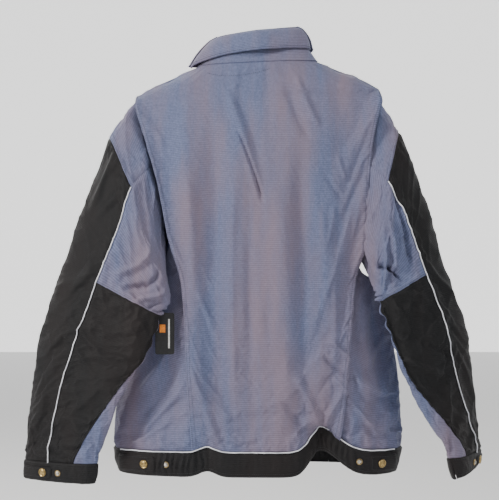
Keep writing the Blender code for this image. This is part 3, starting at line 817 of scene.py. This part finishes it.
def drape(grid, ease, cap, frames):
    """Lets a sheet that is cut too large by its ease settle between its sewn borders, buckling as cloth does.

    It is settled at half the sheet's resolution, and no point moves further than the cap.
    """
    fine, fine_rows, fine_columns = grid, *grid.shape[:2]
    kept_rows = np.linspace(0, fine_rows - 1, fine_rows // 2).round().astype(int)
    kept_columns = np.linspace(0, fine_columns - 1, fine_columns // 2).round().astype(int)
    grid = grid[np.ix_(kept_rows, kept_columns)]
    rows, columns = grid.shape[:2]
    index = np.arange(rows * columns).reshape(rows, columns)
    quads = stack(index[:-1, :-1], index[:-1, 1:], index[1:, 1:], index[1:, :-1]).reshape(-1, 4)
    mesh = bpy.data.meshes.new("draping")
    mesh.from_pydata(grid.reshape(-1, 3).tolist(), [], quads.tolist())
    cloth_object = bpy.data.objects.new("draping", mesh)
    bpy.context.scene.collection.objects.link(cloth_object)
    sewn = np.ones((rows, columns), bool)
    sewn[2:-2, 2:-2] = False
    group = cloth_object.vertex_groups.new(name="sewn")
    group.add(index[sewn].tolist(), 1.0, "REPLACE")
    modifier = cloth_object.modifiers.new("cloth", "CLOTH")
    settings = modifier.settings
    settings.quality = 5
    settings.mass = 0.2
    settings.tension_stiffness = 20
    settings.compression_stiffness = 20
    settings.shear_stiffness = 8
    settings.bending_stiffness = 0.4
    settings.air_damping = 2
    settings.vertex_group_mass = "sewn"
    settings.shrink_min = -ease
    settings.shrink_max = -ease
    settings.effector_weights.gravity = 0.25
    modifier.collision_settings.use_collision = False
    modifier.collision_settings.use_self_collision = False
    modifier.point_cache.frame_end = frames
    scene = bpy.context.scene
    for frame_number in range(1, frames + 1):
        scene.frame_set(frame_number)
    evaluated = cloth_object.evaluated_get(bpy.context.evaluated_depsgraph_get())
    settled = np.empty(rows * columns * 3, np.float32)
    evaluated.data.vertices.foreach_get("co", settled)
    bpy.data.objects.remove(cloth_object)
    bpy.data.meshes.remove(mesh)
    scene.frame_set(1)
    moved = settled.reshape(rows, columns, 3).astype(float) - grid
    far = np.linalg.norm(moved, axis=-1, keepdims=True)
    moved = moved * np.tanh(far / cap) * cap / np.maximum(far, 1e-9)
    moved = spread_out(moved, kept_rows, fine_rows).swapaxes(0, 1)
    return fine + spread_out(moved, kept_columns, fine_columns).swapaxes(0, 1)


# The body's panels


def body_grid(left, right, low, top, columns, rows, proud=None):
    u, v = np.meshgrid(np.linspace(0, 1, columns), np.linspace(0, 1, rows))
    z = mix(low, top(u), v)
    angle = mix(left(z), right(z), u)
    lift = 0.0 if proud is None else proud(u, z)
    return body(angle, z, lift)


PLEAT_LOW, PLEAT_OPEN = -0.40, -0.30


def pleat_open(z):
    """How far the back's side pleats stand open at a height: not at all below, fully near the shoulder."""
    return smooth((z - PLEAT_LOW) / (PLEAT_OPEN - PLEAT_LOW)) * smooth((SHOULDER_Z + 0.010 - z) / 0.035)


def make_back_panel():
    piece = Piece("back_panel_cloth", [GREY, GREY_THREAD])

    def lift(u, z):
        near_right = smooth((0.10 - u) / 0.10)
        near_left = smooth((u - 0.92) / 0.08)
        below = smooth((PLEAT_OPEN - z) / 0.05)
        stands = pleat_open(z) * (0.013 * near_left + 0.017 * near_right)
        return 0.0012 + stands + below * (0.002 * near_left + 0.007 * near_right)

    grid = body_grid(
        lambda z: back_edge(-1, z) - 0.060 * pleat_open(z) - 0.02,
        lambda z: back_edge(1, z) + 0.036 * pleat_open(z),
        BAND_TOP_Z - 0.001, lambda u: 0.0035 + 0.0 * u, 190, 250, lift,
    )
    piece.draped_sheet(grid, 0.0024, 0.016, 0.0045, 14)
    piece.sew_border("left", (0.003, 0.009), 0.01, 0.93)
    piece.sew_border("right", (0.003, 0.009), 0.01, 0.93)
    run = np.linspace(0, 1, 60)
    piece.sew(mix(0.45, 0.72, run), 0.978 - 0.014 * np.sin(PI * run))
    place_cloth(piece, "torso", "back_panel")


def make_side_panels():
    for side, word in SIDES:
        deep = 0.014 if side > 0 else 0.024
        piece = Piece(f"back_side_{word}_cloth", [GREY, GREY_THREAD])
        grid = body_grid(
            lambda z: back_edge(side, z) - side * 0.06,
            lambda z: side * SIDE + 0 * z,
            BAND_TOP_Z - 0.001,
            lambda u: ARMPIT_Z + 0.085 * smooth(1 - u / 0.7) + 0 * u,
            70, 120,
            lambda u, z: -0.0014 - deep * np.exp(-((u / 0.45) ** 2)) * smooth((z + 0.60) / 0.25),
        )
        piece.draped_sheet(grid, CLOTH, 0.040, 0.008, 18)
        place_cloth(piece, "torso", f"back_side_{word}")
        piece = Piece(f"front_side_{word}_cloth", [GREY, GREY_THREAD])
        grid = body_grid(
            lambda z: side * armhole_edge(z), lambda z: side * front_edge(z), BAND_TOP_Z - 0.001,
            lambda u: -0.004 + 0 * u, 60, 180,
        )
        piece.draped_sheet(grid, CLOTH, 0.022, 0.006)
        piece.sew_border("right", (0.003, 0.009), 0.01, 0.95)
        place_cloth(piece, "torso", f"front_side_{word}")


def make_front_panels():
    for side, word in SIDES:
        piece = Piece(f"front_panel_{word}_cloth", [GREY, GREY_THREAD])
        grid = body_grid(
            lambda z: side * front_edge(z), lambda z: side * PI + 0 * z, BAND_TOP_Z - 0.001,
            lambda u: front_neck_height(u) + 0.003, 90, 190,
        )
        piece.draped_sheet(grid, CLOTH, 0.018, 0.0025)
        piece.sew_border("left", (0.004,), 0.01, 0.97)
        place_cloth(piece, f"front_{word}", f"front_panel_{word}", "front")
        make_pocket(side, word)


POCKET_LOW, POCKET_HIGH, POCKET_NEAR, POCKET_FAR = -0.315, -0.185, 0.038, 0.122


def patch_grid(side, near, far, low, high, columns, rows, proud, pointed=0.0):
    """A rectangle sewn on the front, near to far from the middle. pointed raises its lower corners."""
    u, v = np.meshgrid(np.linspace(0, 1, columns), np.linspace(0, 1, rows))
    z = mix(low, high, v) + pointed * np.abs(2 * u - 1) * (1 - v)
    angle = side * np.abs(angle_of(mix(near, far, u), z, front=True))
    border = np.minimum(np.minimum(u, 1 - u), np.minimum(v, 1 - v))
    return body(angle, z, proud + 0.0010 * smooth(border / 0.10))


def make_pocket(side, word):
    piece = Piece(f"chest_pocket_{word}_cloth", [GREY, GREY_THREAD])
    grid = patch_grid(side, POCKET_NEAR, POCKET_FAR, POCKET_LOW, POCKET_HIGH, 50, 70, LAYER - 0.0008)
    piece.sheet(grid, CLOTH)
    for border in ("left", "right", "low"):
        piece.sew_border(border, (0.003, 0.008), 0.03, 0.97)
    place_cloth(piece, f"front_{word}", f"chest_pocket_{word}")
    piece = Piece(f"pocket_flap_{word}_cloth", [BLACK, BLACK_THREAD])
    low, high = POCKET_HIGH - 0.040, POCKET_HIGH + 0.012
    grid = patch_grid(side, POCKET_NEAR - 0.003, POCKET_FAR + 0.003, low, high, 60, 34, 1.9 * LAYER, 0.010)
    piece.sheet(grid, 0.0022)
    for border in ("left", "right", "low", "high"):
        piece.sew_border(border, (0.003, 0.008), 0.04, 0.96)
    place_cloth(piece, f"pocket_flap_{word}", f"pocket_flap_{word}")
    middle = side * (POCKET_NEAR + POCKET_FAR) / 2
    proud = 1.9 * LAYER + 0.001
    snap_on_body(f"pocket_snap_{word}", middle, POCKET_HIGH - 0.022, True, proud, f"pocket_flap_{word}")


# Snaps

# Each profile runs from the rim to the middle, as (radius, height) in shares of the snap's radius
CAP_PROFILE = [
    (1.0, -0.10), (1.04, 0.06), (1.0, 0.20), (0.90, 0.30), (0.82, 0.27), (0.76, 0.24), (0.66, 0.30),
    (0.45, 0.37), (0.2, 0.40), (0.02, 0.405),
]
STUD_PROFILE = [
    (1.0, -0.10), (1.05, 0.05), (1.0, 0.16), (0.80, 0.20), (0.72, 0.10), (0.55, 0.08), (0.50, 0.28),
    (0.52, 0.42), (0.40, 0.50), (0.2, 0.52), (0.02, 0.52),
]


def snap_piece(name, point, outwards, radius, body_name, stud=False):
    piece = Piece(f"{name}_metal", [BRASS, STEEL])
    profile = [(r * radius, h * radius) for r, h in (STUD_PROFILE if stud else CAP_PROFILE)]
    if stud:
        piece.turned(point, outwards, profile[:6], 0)
        piece.turned(point, outwards, profile[4:], 1)
    else:
        piece.turned(point, outwards, profile, 0)
    place_piece(piece, body_name, [name])


def snap_on_body(name, x, z, front, proud, body_name, stud=False):
    angle = angle_of(x, z, front)
    point = body(angle, z, proud)
    radius = STUD_RADIUS if stud else SNAP_RADIUS
    snap_piece(name, point, body(angle, z, proud + 0.01) - point, radius, body_name, stud)


# Waistband, placket and tabs


BAND_COLUMN = 0.0021


def band_grid(first, last):
    """The waistband between two angles, puffed between its sewn edges and gathered by its side elastic."""
    columns = int(abs(last - first) * 0.21 / BAND_COLUMN)
    u, v = np.meshgrid(np.linspace(0, 1, columns), np.linspace(0, 1, 26))
    angle, z = mix(first, last, u), mix(HEM_Z, BAND_TOP_Z, v)
    along_x = plain_body(angle, z)[..., 0]
    puff = 0.0016 + 0.0024 * np.sin(PI * v) ** 0.6
    elastic = smooth((np.abs(along_x) - 0.07) / 0.04) * smooth((0.19 - np.abs(along_x)) / 0.02)
    wave = np.sin(along_x * 620 + 3.0 * noise(along_x * 40, v * 1.5) + 1.2 * v)
    sag = 0.0016 * noise(along_x * 22 + 8, v * 0.8)
    gathered = (0.0003 + 0.0013 * elastic) * wave * np.sin(PI * np.clip(v, 0.08, 0.92))
    return body(angle, z, puff + gathered + sag)


def make_waistband():
    band_edge = float(front_edge(HEM_Z))
    piece = Piece("waistband_back_cloth", [BLACK, BLACK_THREAD])
    piece.sheet(band_grid(-band_edge, band_edge), 0.0030)
    piece.sew_border("low", (0.003, 0.007), 0.004, 0.996)
    piece.sew_border("high", (0.003,), 0.004, 0.996)
    place_cloth(piece, "torso", "waistband_back")
    piece = Piece("waist_piping_cord", [PIPING])
    ends = float(angle_of(0.2445, BAND_TOP_Z))
    angle = np.linspace(-ends, ends, 500)
    piece.tube(body(angle, BAND_TOP_Z, 0.0030), 0.0011, 0)
    place_piece(piece, "torso", ["waist_piping"])
    for side, word in SIDES:
        piece = Piece(f"waistband_front_{word}_cloth", [BLACK, BLACK_THREAD])
        piece.sheet(band_grid(side * band_edge, side * PI), 0.0030)
        piece.sew_border("low", (0.003, 0.007), 0.01, 0.99)
        piece.sew_border("high", (0.003,), 0.01, 0.99)
        place_cloth(piece, f"front_{word}", f"waistband_front_{word}", "front")
        make_waist_tab(side, word)


def make_waist_tab(side, word):
    free_end, sewn_end = (0.181, 0.246) if side > 0 else (0.200, 0.246)
    half = 0.0145
    piece = Piece(f"waist_tab_{word}_cloth", [BLACK, BLACK_THREAD])
    u, v = np.meshgrid(np.linspace(0, 1, 50), np.linspace(0, 1, 24))
    rounded = half * np.sqrt(np.clip(1 - (1 - np.clip(u / 0.10, 0, 1)) ** 2 * 0.35, 0, 1))
    z = BAND_MIDDLE_Z + rounded * (2 * v - 1)
    angle = side * np.abs(angle_of(mix(free_end, sewn_end, u), z))
    piece.sheet(body(angle, z, 0.0062 + 0.0006 * np.sin(PI * v)), 0.0022)
    piece.sew_border("low", (0.003,), 0.04, 0.99)
    piece.sew_border("high", (0.003,), 0.04, 0.99)
    piece.sew_border("left", (0.003,), 0.12, 0.88)
    place_cloth(piece, f"waist_tab_{word}", f"waist_tab_{word}")
    snap_on_body(
        f"waist_snap_cap_{word}", side * (free_end + 0.019), BAND_MIDDLE_Z, False, 0.0070, f"waist_tab_{word}"
    )
    snap_on_body(
        f"waist_snap_stud_{word}", side * (free_end - 0.019), BAND_MIDDLE_Z, False, 0.0046, "torso", stud=True
    )


def make_placket():
    piece = Piece("placket_cloth", [BLACK, BLACK_THREAD])
    u, v = np.meshgrid(np.linspace(0, 1, 34), np.linspace(0, 1, 220))
    z = mix(HEM_Z, -FRONT_NECK_DROP - 0.040, v)
    x = mix(-0.028, 0.028, u)
    angle = np.where(np.abs(x) < 1e-9, PI, angle_of(x, z, front=True))
    piece.sheet(body(angle, z, 1.6 * LAYER + 0.0010), 0.0026)
    piece.sew_border("left", (0.0035,), 0.005, 0.995)
    piece.sew_border("right", (0.0035, 0.009), 0.005, 0.995)
    piece.sew_border("high", (0.0035,), 0.06, 0.94)
    place_cloth(piece, "front_left", "placket")
    for number, height in enumerate([-0.135, -0.290, -0.445, -0.600, BAND_MIDDLE_Z], 1):
        snap_on_body(f"front_snap_cap_{number}", -0.0105, height, True, 1.6 * LAYER + 0.0012, "front_left")
        snap_on_body(f"front_snap_stud_{number}", -0.0105, height, True, 0.0002, "front_right", stud=True)


# The collar


def collar_points(angle, height, to_front, across):
    base = body(angle, height, 0.0, folded=False)
    outwards = unit(stack(base[..., 0], base[..., 1] * 1.6, 0 * base[..., 0]))
    stand_height = mix(0.060, 0.026, to_front)
    lean_in = mix(0.010 + 0.024 * np.abs(np.sin(angle)), 0.004, to_front)
    up = np.array([0.0, 0.0, 1.0])
    foot = base + up * 0.0006
    rise = stand_height - 0.045 * base[..., 0] * (1 - to_front)
    fold = foot - outwards * lean_in[..., None] + up * rise[..., None]
    lying_open = np.abs(np.sin(angle)) ** 3 * (1 - to_front) * np.where(base[..., 0] > 0, 1.0, 0.2)
    fall = mix(0.038, 0.062, to_front) + 0.016 * lying_open
    spread = mix(0.016, 0.030, to_front) + 0.030 * lying_open
    edge = fold + outwards * spread[..., None] - up * fall[..., None]
    bend = 0.55
    t = np.clip(across / bend, 0, 1)
    stand = mix(foot, fold, t[..., None]) - outwards * (0.004 * np.sin(PI * t))[..., None]
    s = np.clip((across - bend) / (1 - bend), 0, 1)
    wave = (0.0022 * noise(angle * 3.2 + 20, s * 1.5) + 0.0008 * noise(angle * 11, s * 3 + 9)) * s
    crown = (0.0035 + 0.004 * np.sin(PI * s)) * smooth(s / 0.15) + wave
    rolled = outwards * crown[..., None] + up * (0.002 * np.sin(PI * s))[..., None]
    leaf = mix(fold, edge, s[..., None]) + rolled
    return np.where((across <= bend)[..., None], stand, leaf)


def collar_piece(name, angle_at, body_name, replaced, bends=None, columns=80):
    piece = Piece(name, [GREY, GREY_THREAD])
    piece.middle = np.array([0.0, 0.0, 0.02])
    u, v = np.meshgrid(np.linspace(0, 1, columns), np.linspace(0, 1, 70))
    angle, height, to_front = angle_at(u)
    piece.sheet(collar_points(angle, height, to_front, v), 0.0018)
    piece.sew_border("high", (0.004,), 0.01, 0.99)
    place_cloth(piece, body_name, replaced, bends)


def make_collar():
    def back(u):
        return mix(-SIDE, SIDE, u), 0 * u, 0 * u

    collar_piece("collar_back_cloth", back, "torso", "collar_back", columns=140)
    for side, word in SIDES:

        def wing(u):
            share = mix(0.0, 0.93, u)
            height = front_neck_height(share)
            return side * mix(front_edge(height), PI, share), height, smooth(share)

        collar_piece(f"collar_wing_{word}_cloth", wing, f"front_{word}", f"collar_wing_{word}", "neck")


# The sleeves


def gusset_edge(place):
    return np.radians(mix(188, 112, smooth((place - 0.62) / 0.4)))


def sleeve_piece(name, side, first, last, start, end, columns, rows, cloth, lift=0.0, ease=0.03, cap=0.006):
    """A sleeve's panel, from one place along it to another. Each of its edges gives a turn for a place."""
    piece = Piece(f"{name}_{side}_cloth", [cloth, GREY_THREAD if cloth == GREY else BLACK_THREAD])
    u, v = np.meshgrid(np.linspace(0, 1, columns), np.linspace(0, 1, rows))
    place = mix(start, end, v)
    grid = sleeve(side, mix(first(place), last(place), u), place, lift)
    piece.middle = (plain_sleeve(side, 0.0, place) + plain_sleeve(side, PI, place)) / 2
    piece.draped_sheet(grid, CLOTH, ease, cap)
    return piece


def finish_sleeve_piece(piece, name, side):
    place_cloth(piece, f"sleeve_{side}", f"{name}_{side}", "armhole")


def make_sleeve(side):
    back_seam, front_seam = PIPING_TURN, 2 * PI - PIPING_TURN

    def constant(turn):
        return lambda place: turn + 0 * place

    piece = sleeve_piece(
        "sleeve_cap", side, constant(-back_seam), constant(back_seam), 0.0, CAP_SEAM, 100, 60, GREY, 0.0006,
        0.02, 0.004,
    )
    piece.sew_border("high", (0.003, 0.010))
    finish_sleeve_piece(piece, "sleeve_cap", side)
    piece = sleeve_piece(
        "sleeve_outer", side, constant(-back_seam), constant(back_seam), CAP_SEAM, CUFF_SEAM, 90, 260, BLACK
    )
    finish_sleeve_piece(piece, "sleeve_outer", side)
    piece = sleeve_piece(
        "sleeve_underarm", side, constant(back_seam), constant(front_seam), 0.0, ELBOW_SEAM, 120, 150, GREY,
        0.0003, 0.045, 0.009,
    )
    piece.sew_border("high", (0.003,))
    finish_sleeve_piece(piece, "sleeve_underarm", side)
    piece = sleeve_piece(
        "sleeve_lower", side, constant(back_seam), gusset_edge, ELBOW_SEAM, CUFF_SEAM, 80, 170, BLACK
    )
    piece.sew_border("right", (0.003, 0.009))
    finish_sleeve_piece(piece, "sleeve_lower", side)
    piece = sleeve_piece(
        "sleeve_gusset", side, gusset_edge, constant(front_seam), ELBOW_SEAM, CUFF_SEAM, 70, 170, GREY
    )
    finish_sleeve_piece(piece, "sleeve_gusset", side)
    piece = Piece(f"sleeve_piping_{side}_cord", [PIPING])
    places = np.linspace(CAP_SEAM, CUFF_SEAM, 300)
    piece.tube(sleeve(side, back_seam + 0 * places, places, 0.0014), 0.0011, 0)
    place_piece(piece, f"sleeve_{side}", [f"sleeve_piping_{side}"], "armhole")
    make_cuff(side)


def make_cuff(side):
    piece = Piece(f"cuff_{side}_cloth", [BLACK, BLACK_THREAD])
    u, v = np.meshgrid(np.linspace(0, 1, 170), np.linspace(0, 1, 24))
    place, turn = mix(CUFF_SEAM - 0.002, 1.0, v), mix(-PI + 0.02, PI - 0.02, u)
    piece.middle = (plain_sleeve(side, 0.0, 0.98) + plain_sleeve(side, PI, 0.98)) / 2
    pleats = 0.0008 * noise(turn * 4, v * 1.2) + 0.0006 * noise(turn * 11, v * 2)
    piece.sheet(sleeve(side, turn, place, 0.0012 + 0.0018 * np.sin(PI * v) ** 0.6 + pleats), 0.0026)
    piece.sew_border("low", (0.003,), 0.01, 0.99)
    piece.sew_border("high", (0.003, 0.007), 0.01, 0.99)
    place_cloth(piece, f"sleeve_{side}", f"cuff_{side}")
    middle = (CUFF_SEAM + 1.0) / 2
    sewn, free, spread = math.radians(28), math.radians(86), 0.0125
    piece = Piece(f"cuff_tab_{side}_cloth", [BLACK, BLACK_THREAD])
    piece.middle = (plain_sleeve(side, 0.0, 0.98) + plain_sleeve(side, PI, 0.98)) / 2
    u, v = np.meshgrid(np.linspace(0, 1, 44), np.linspace(0, 1, 20))
    narrow = np.sqrt(np.clip(1 - (1 - np.clip((1 - u) / 0.1, 0, 1)) ** 2 * 0.35, 0, 1))
    piece.sheet(sleeve(side, mix(sewn, free, u), middle + spread * narrow * (2 * v - 1), 0.0052), 0.0020)
    piece.sew_border("low", (0.003,), 0.01, 0.95)
    piece.sew_border("high", (0.003,), 0.01, 0.95)
    piece.sew_border("right", (0.003,), 0.15, 0.85)
    place_cloth(piece, f"cuff_tab_{side}", f"cuff_tab_{side}")
    for kind, turn, proud, radius, rider in (
        ("cap", free - 0.24, 0.0056, SNAP_RADIUS, f"cuff_tab_{side}"),
        ("stud", free + 0.18, 0.0030, STUD_RADIUS, f"sleeve_{side}"),
    ):
        point = sleeve(side, turn, middle, proud)
        outwards = sleeve(side, turn, middle, proud + 0.01) - point
        snap_piece(f"cuff_snap_{kind}_{side}", point, outwards, radius, rider, stud=kind == "stud")


# What hangs inside and beside it


def make_hanger_loop():
    low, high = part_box("hanger_loop")
    piece = Piece("hanger_loop_cord", [BLACK])
    t = np.linspace(0, 1, 60)
    foot_y = high.y - 0.004
    line = stack(
        mix(low.x + 0.003, high.x - 0.003, t),
        foot_y - 0.005 * np.sin(PI * t),
        high.z - 0.004 - (high.z - low.z - 0.008) * np.sin(PI * t) ** 0.55,
    )
    piece.tube(line, 0.0017, 0, 12)
    place_piece(piece, "hanger_loop", ["hanger_loop"])


def make_swing_tag():
    low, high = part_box("swing_tag")
    centre, half = (low + high) / 2, (high - low) / 2
    piece = Piece("swing_tag_card", [CARD, CARD_ORANGE, CARD_PALE])
    corner, n = 0.004, 9
    turn = np.linspace(0, PI / 2, n)
    outline = []
    for k, (sx, sz) in enumerate(((1, 1), (-1, 1), (-1, -1), (1, -1))):
        t = turn + k * PI / 2
        x, z = centre.x + sx * (half.x - corner), centre.z + sz * (half.z - corner)
        outline += [(x + corner * math.cos(a), z + corner * math.sin(a)) for a in t]
    count = len(outline)
    front = [(x, high.y, z) for x, z in outline]
    back = [(x, low.y, z) for x, z in outline]
    sides = [[i, i + count, (i + 1) % count + count, (i + 1) % count] for i in range(count)]
    piece.add(front + back, [list(range(count))[::-1], [i + count for i in range(count)], *sides], 0)
    y = high.y + 0.0002

    def plate(x0, x1, z0, z1, slot):
        points = [(x0, y, z0), (x1, y, z0), (x1, y, z1), (x0, y, z1)]
        points += [(x, y - 0.0003, z) for x, _, z in points]
        piece.add(points, BOX_FACES, slot)

    plate(low.x + 0.016, low.x + 0.026, centre.z + 0.002, centre.z + 0.016, 1)
    plate(low.x + 0.008, low.x + 0.011, centre.z - 0.026, centre.z + 0.026, 2)
    place_piece(piece, "swing_tag", ["swing_tag"])
    string = Piece("swing_tag_string", [BLACK_THREAD])
    top = np.array([centre.x + 0.004, centre.y, high.z - 0.004])
    t = np.linspace(0, 1, 40)
    line = top + stack(0.002 * np.sin(PI * t), 0.0016 * np.cos(PI * t), 0.022 * t)
    string.tube(line, 0.0005, 0, 8)
    place_piece(string, "swing_tag", ())


# Camera, floor and light


def aim(obj, target):
    obj.rotation_euler = (Vector(target) - obj.location).to_track_quat("-Z", "Y").to_euler()


CAMERA_TARGET = Vector((0.0144, 0.0, -0.3384))
CAMERA_DISTANCE = 2.7
BACK_NEARER = 0.09
VIEW_WIDTH = 0.888
FLOOR_Z = -1.15


def stage_plane(word, size, location, rotation, roughness, colour):
    bpy.ops.mesh.primitive_plane_add(size=size, location=location, rotation=rotation)
    plane = bpy.context.object
    plane.name = f"studio_{word}"
    material, _, _, shader = new_material(f"pale_{word}")
    preset(shader, Base_Color=colour, Roughness=roughness)
    plane.data.materials.append(material)
    return shader


def make_stage():
    data = bpy.data.cameras.new("camera")
    data.lens = 36 * (CAMERA_DISTANCE - BACK_NEARER) / VIEW_WIDTH
    camera = bpy.data.objects.new("camera", data)
    bpy.context.scene.collection.objects.link(camera)
    camera.location = CAMERA_TARGET + Vector((0, CAMERA_DISTANCE, 0))
    aim(camera, CAMERA_TARGET)
    bpy.context.scene.camera = camera
    stage_plane("floor", 60, (0, 0, FLOOR_Z), (0, 0, 0), 0.9, (0.86, 0.86, 0.86, 1))
    shader = stage_plane("backdrop", 44, (0, -9.0, 1.0), (-SIDE, 0, 0), 0.5, (0.9, 0.9, 0.9, 1))
    preset(shader, Emission_Color=(1, 1, 1, 1), Emission_Strength=1.1)
    world = bpy.data.worlds.new("soft_world")
    bpy.context.scene.world = world
    world.use_nodes = True
    preset(world.node_tree.nodes["Background"], Color=(1.0, 1.0, 1.0, 1), Strength=0.42)
    for name, place, size, power, colour in (
        ("key", (2.3, 1.5, 0.7), 0.7, 78, (1.0, 0.97, 0.93)),
        ("top", (-0.6, 1.6, 2.0), 0.8, 34, (1.0, 0.98, 0.95)),
        ("fill", (-2.6, 1.7, 0.2), 1.6, 12, (0.90, 0.95, 1.0)),
        ("front_key", (1.8, -1.9, 1.5), 0.9, 40, (1.0, 0.98, 0.95)),
    ):
        lamp = bpy.data.lights.new(name, "AREA")
        lamp.energy, lamp.size, lamp.color = power, size, colour
        light = bpy.data.objects.new(name, lamp)
        bpy.context.scene.collection.objects.link(light)
        light.location = place
        aim(light, (0, 0, -0.35))


make_stage()
make_back_panel()
make_side_panels()
make_front_panels()
make_waistband()
make_placket()
make_collar()
for hand in ("left", "right"):
    make_sleeve(hand)
make_hanger_loop()
make_swing_tag()
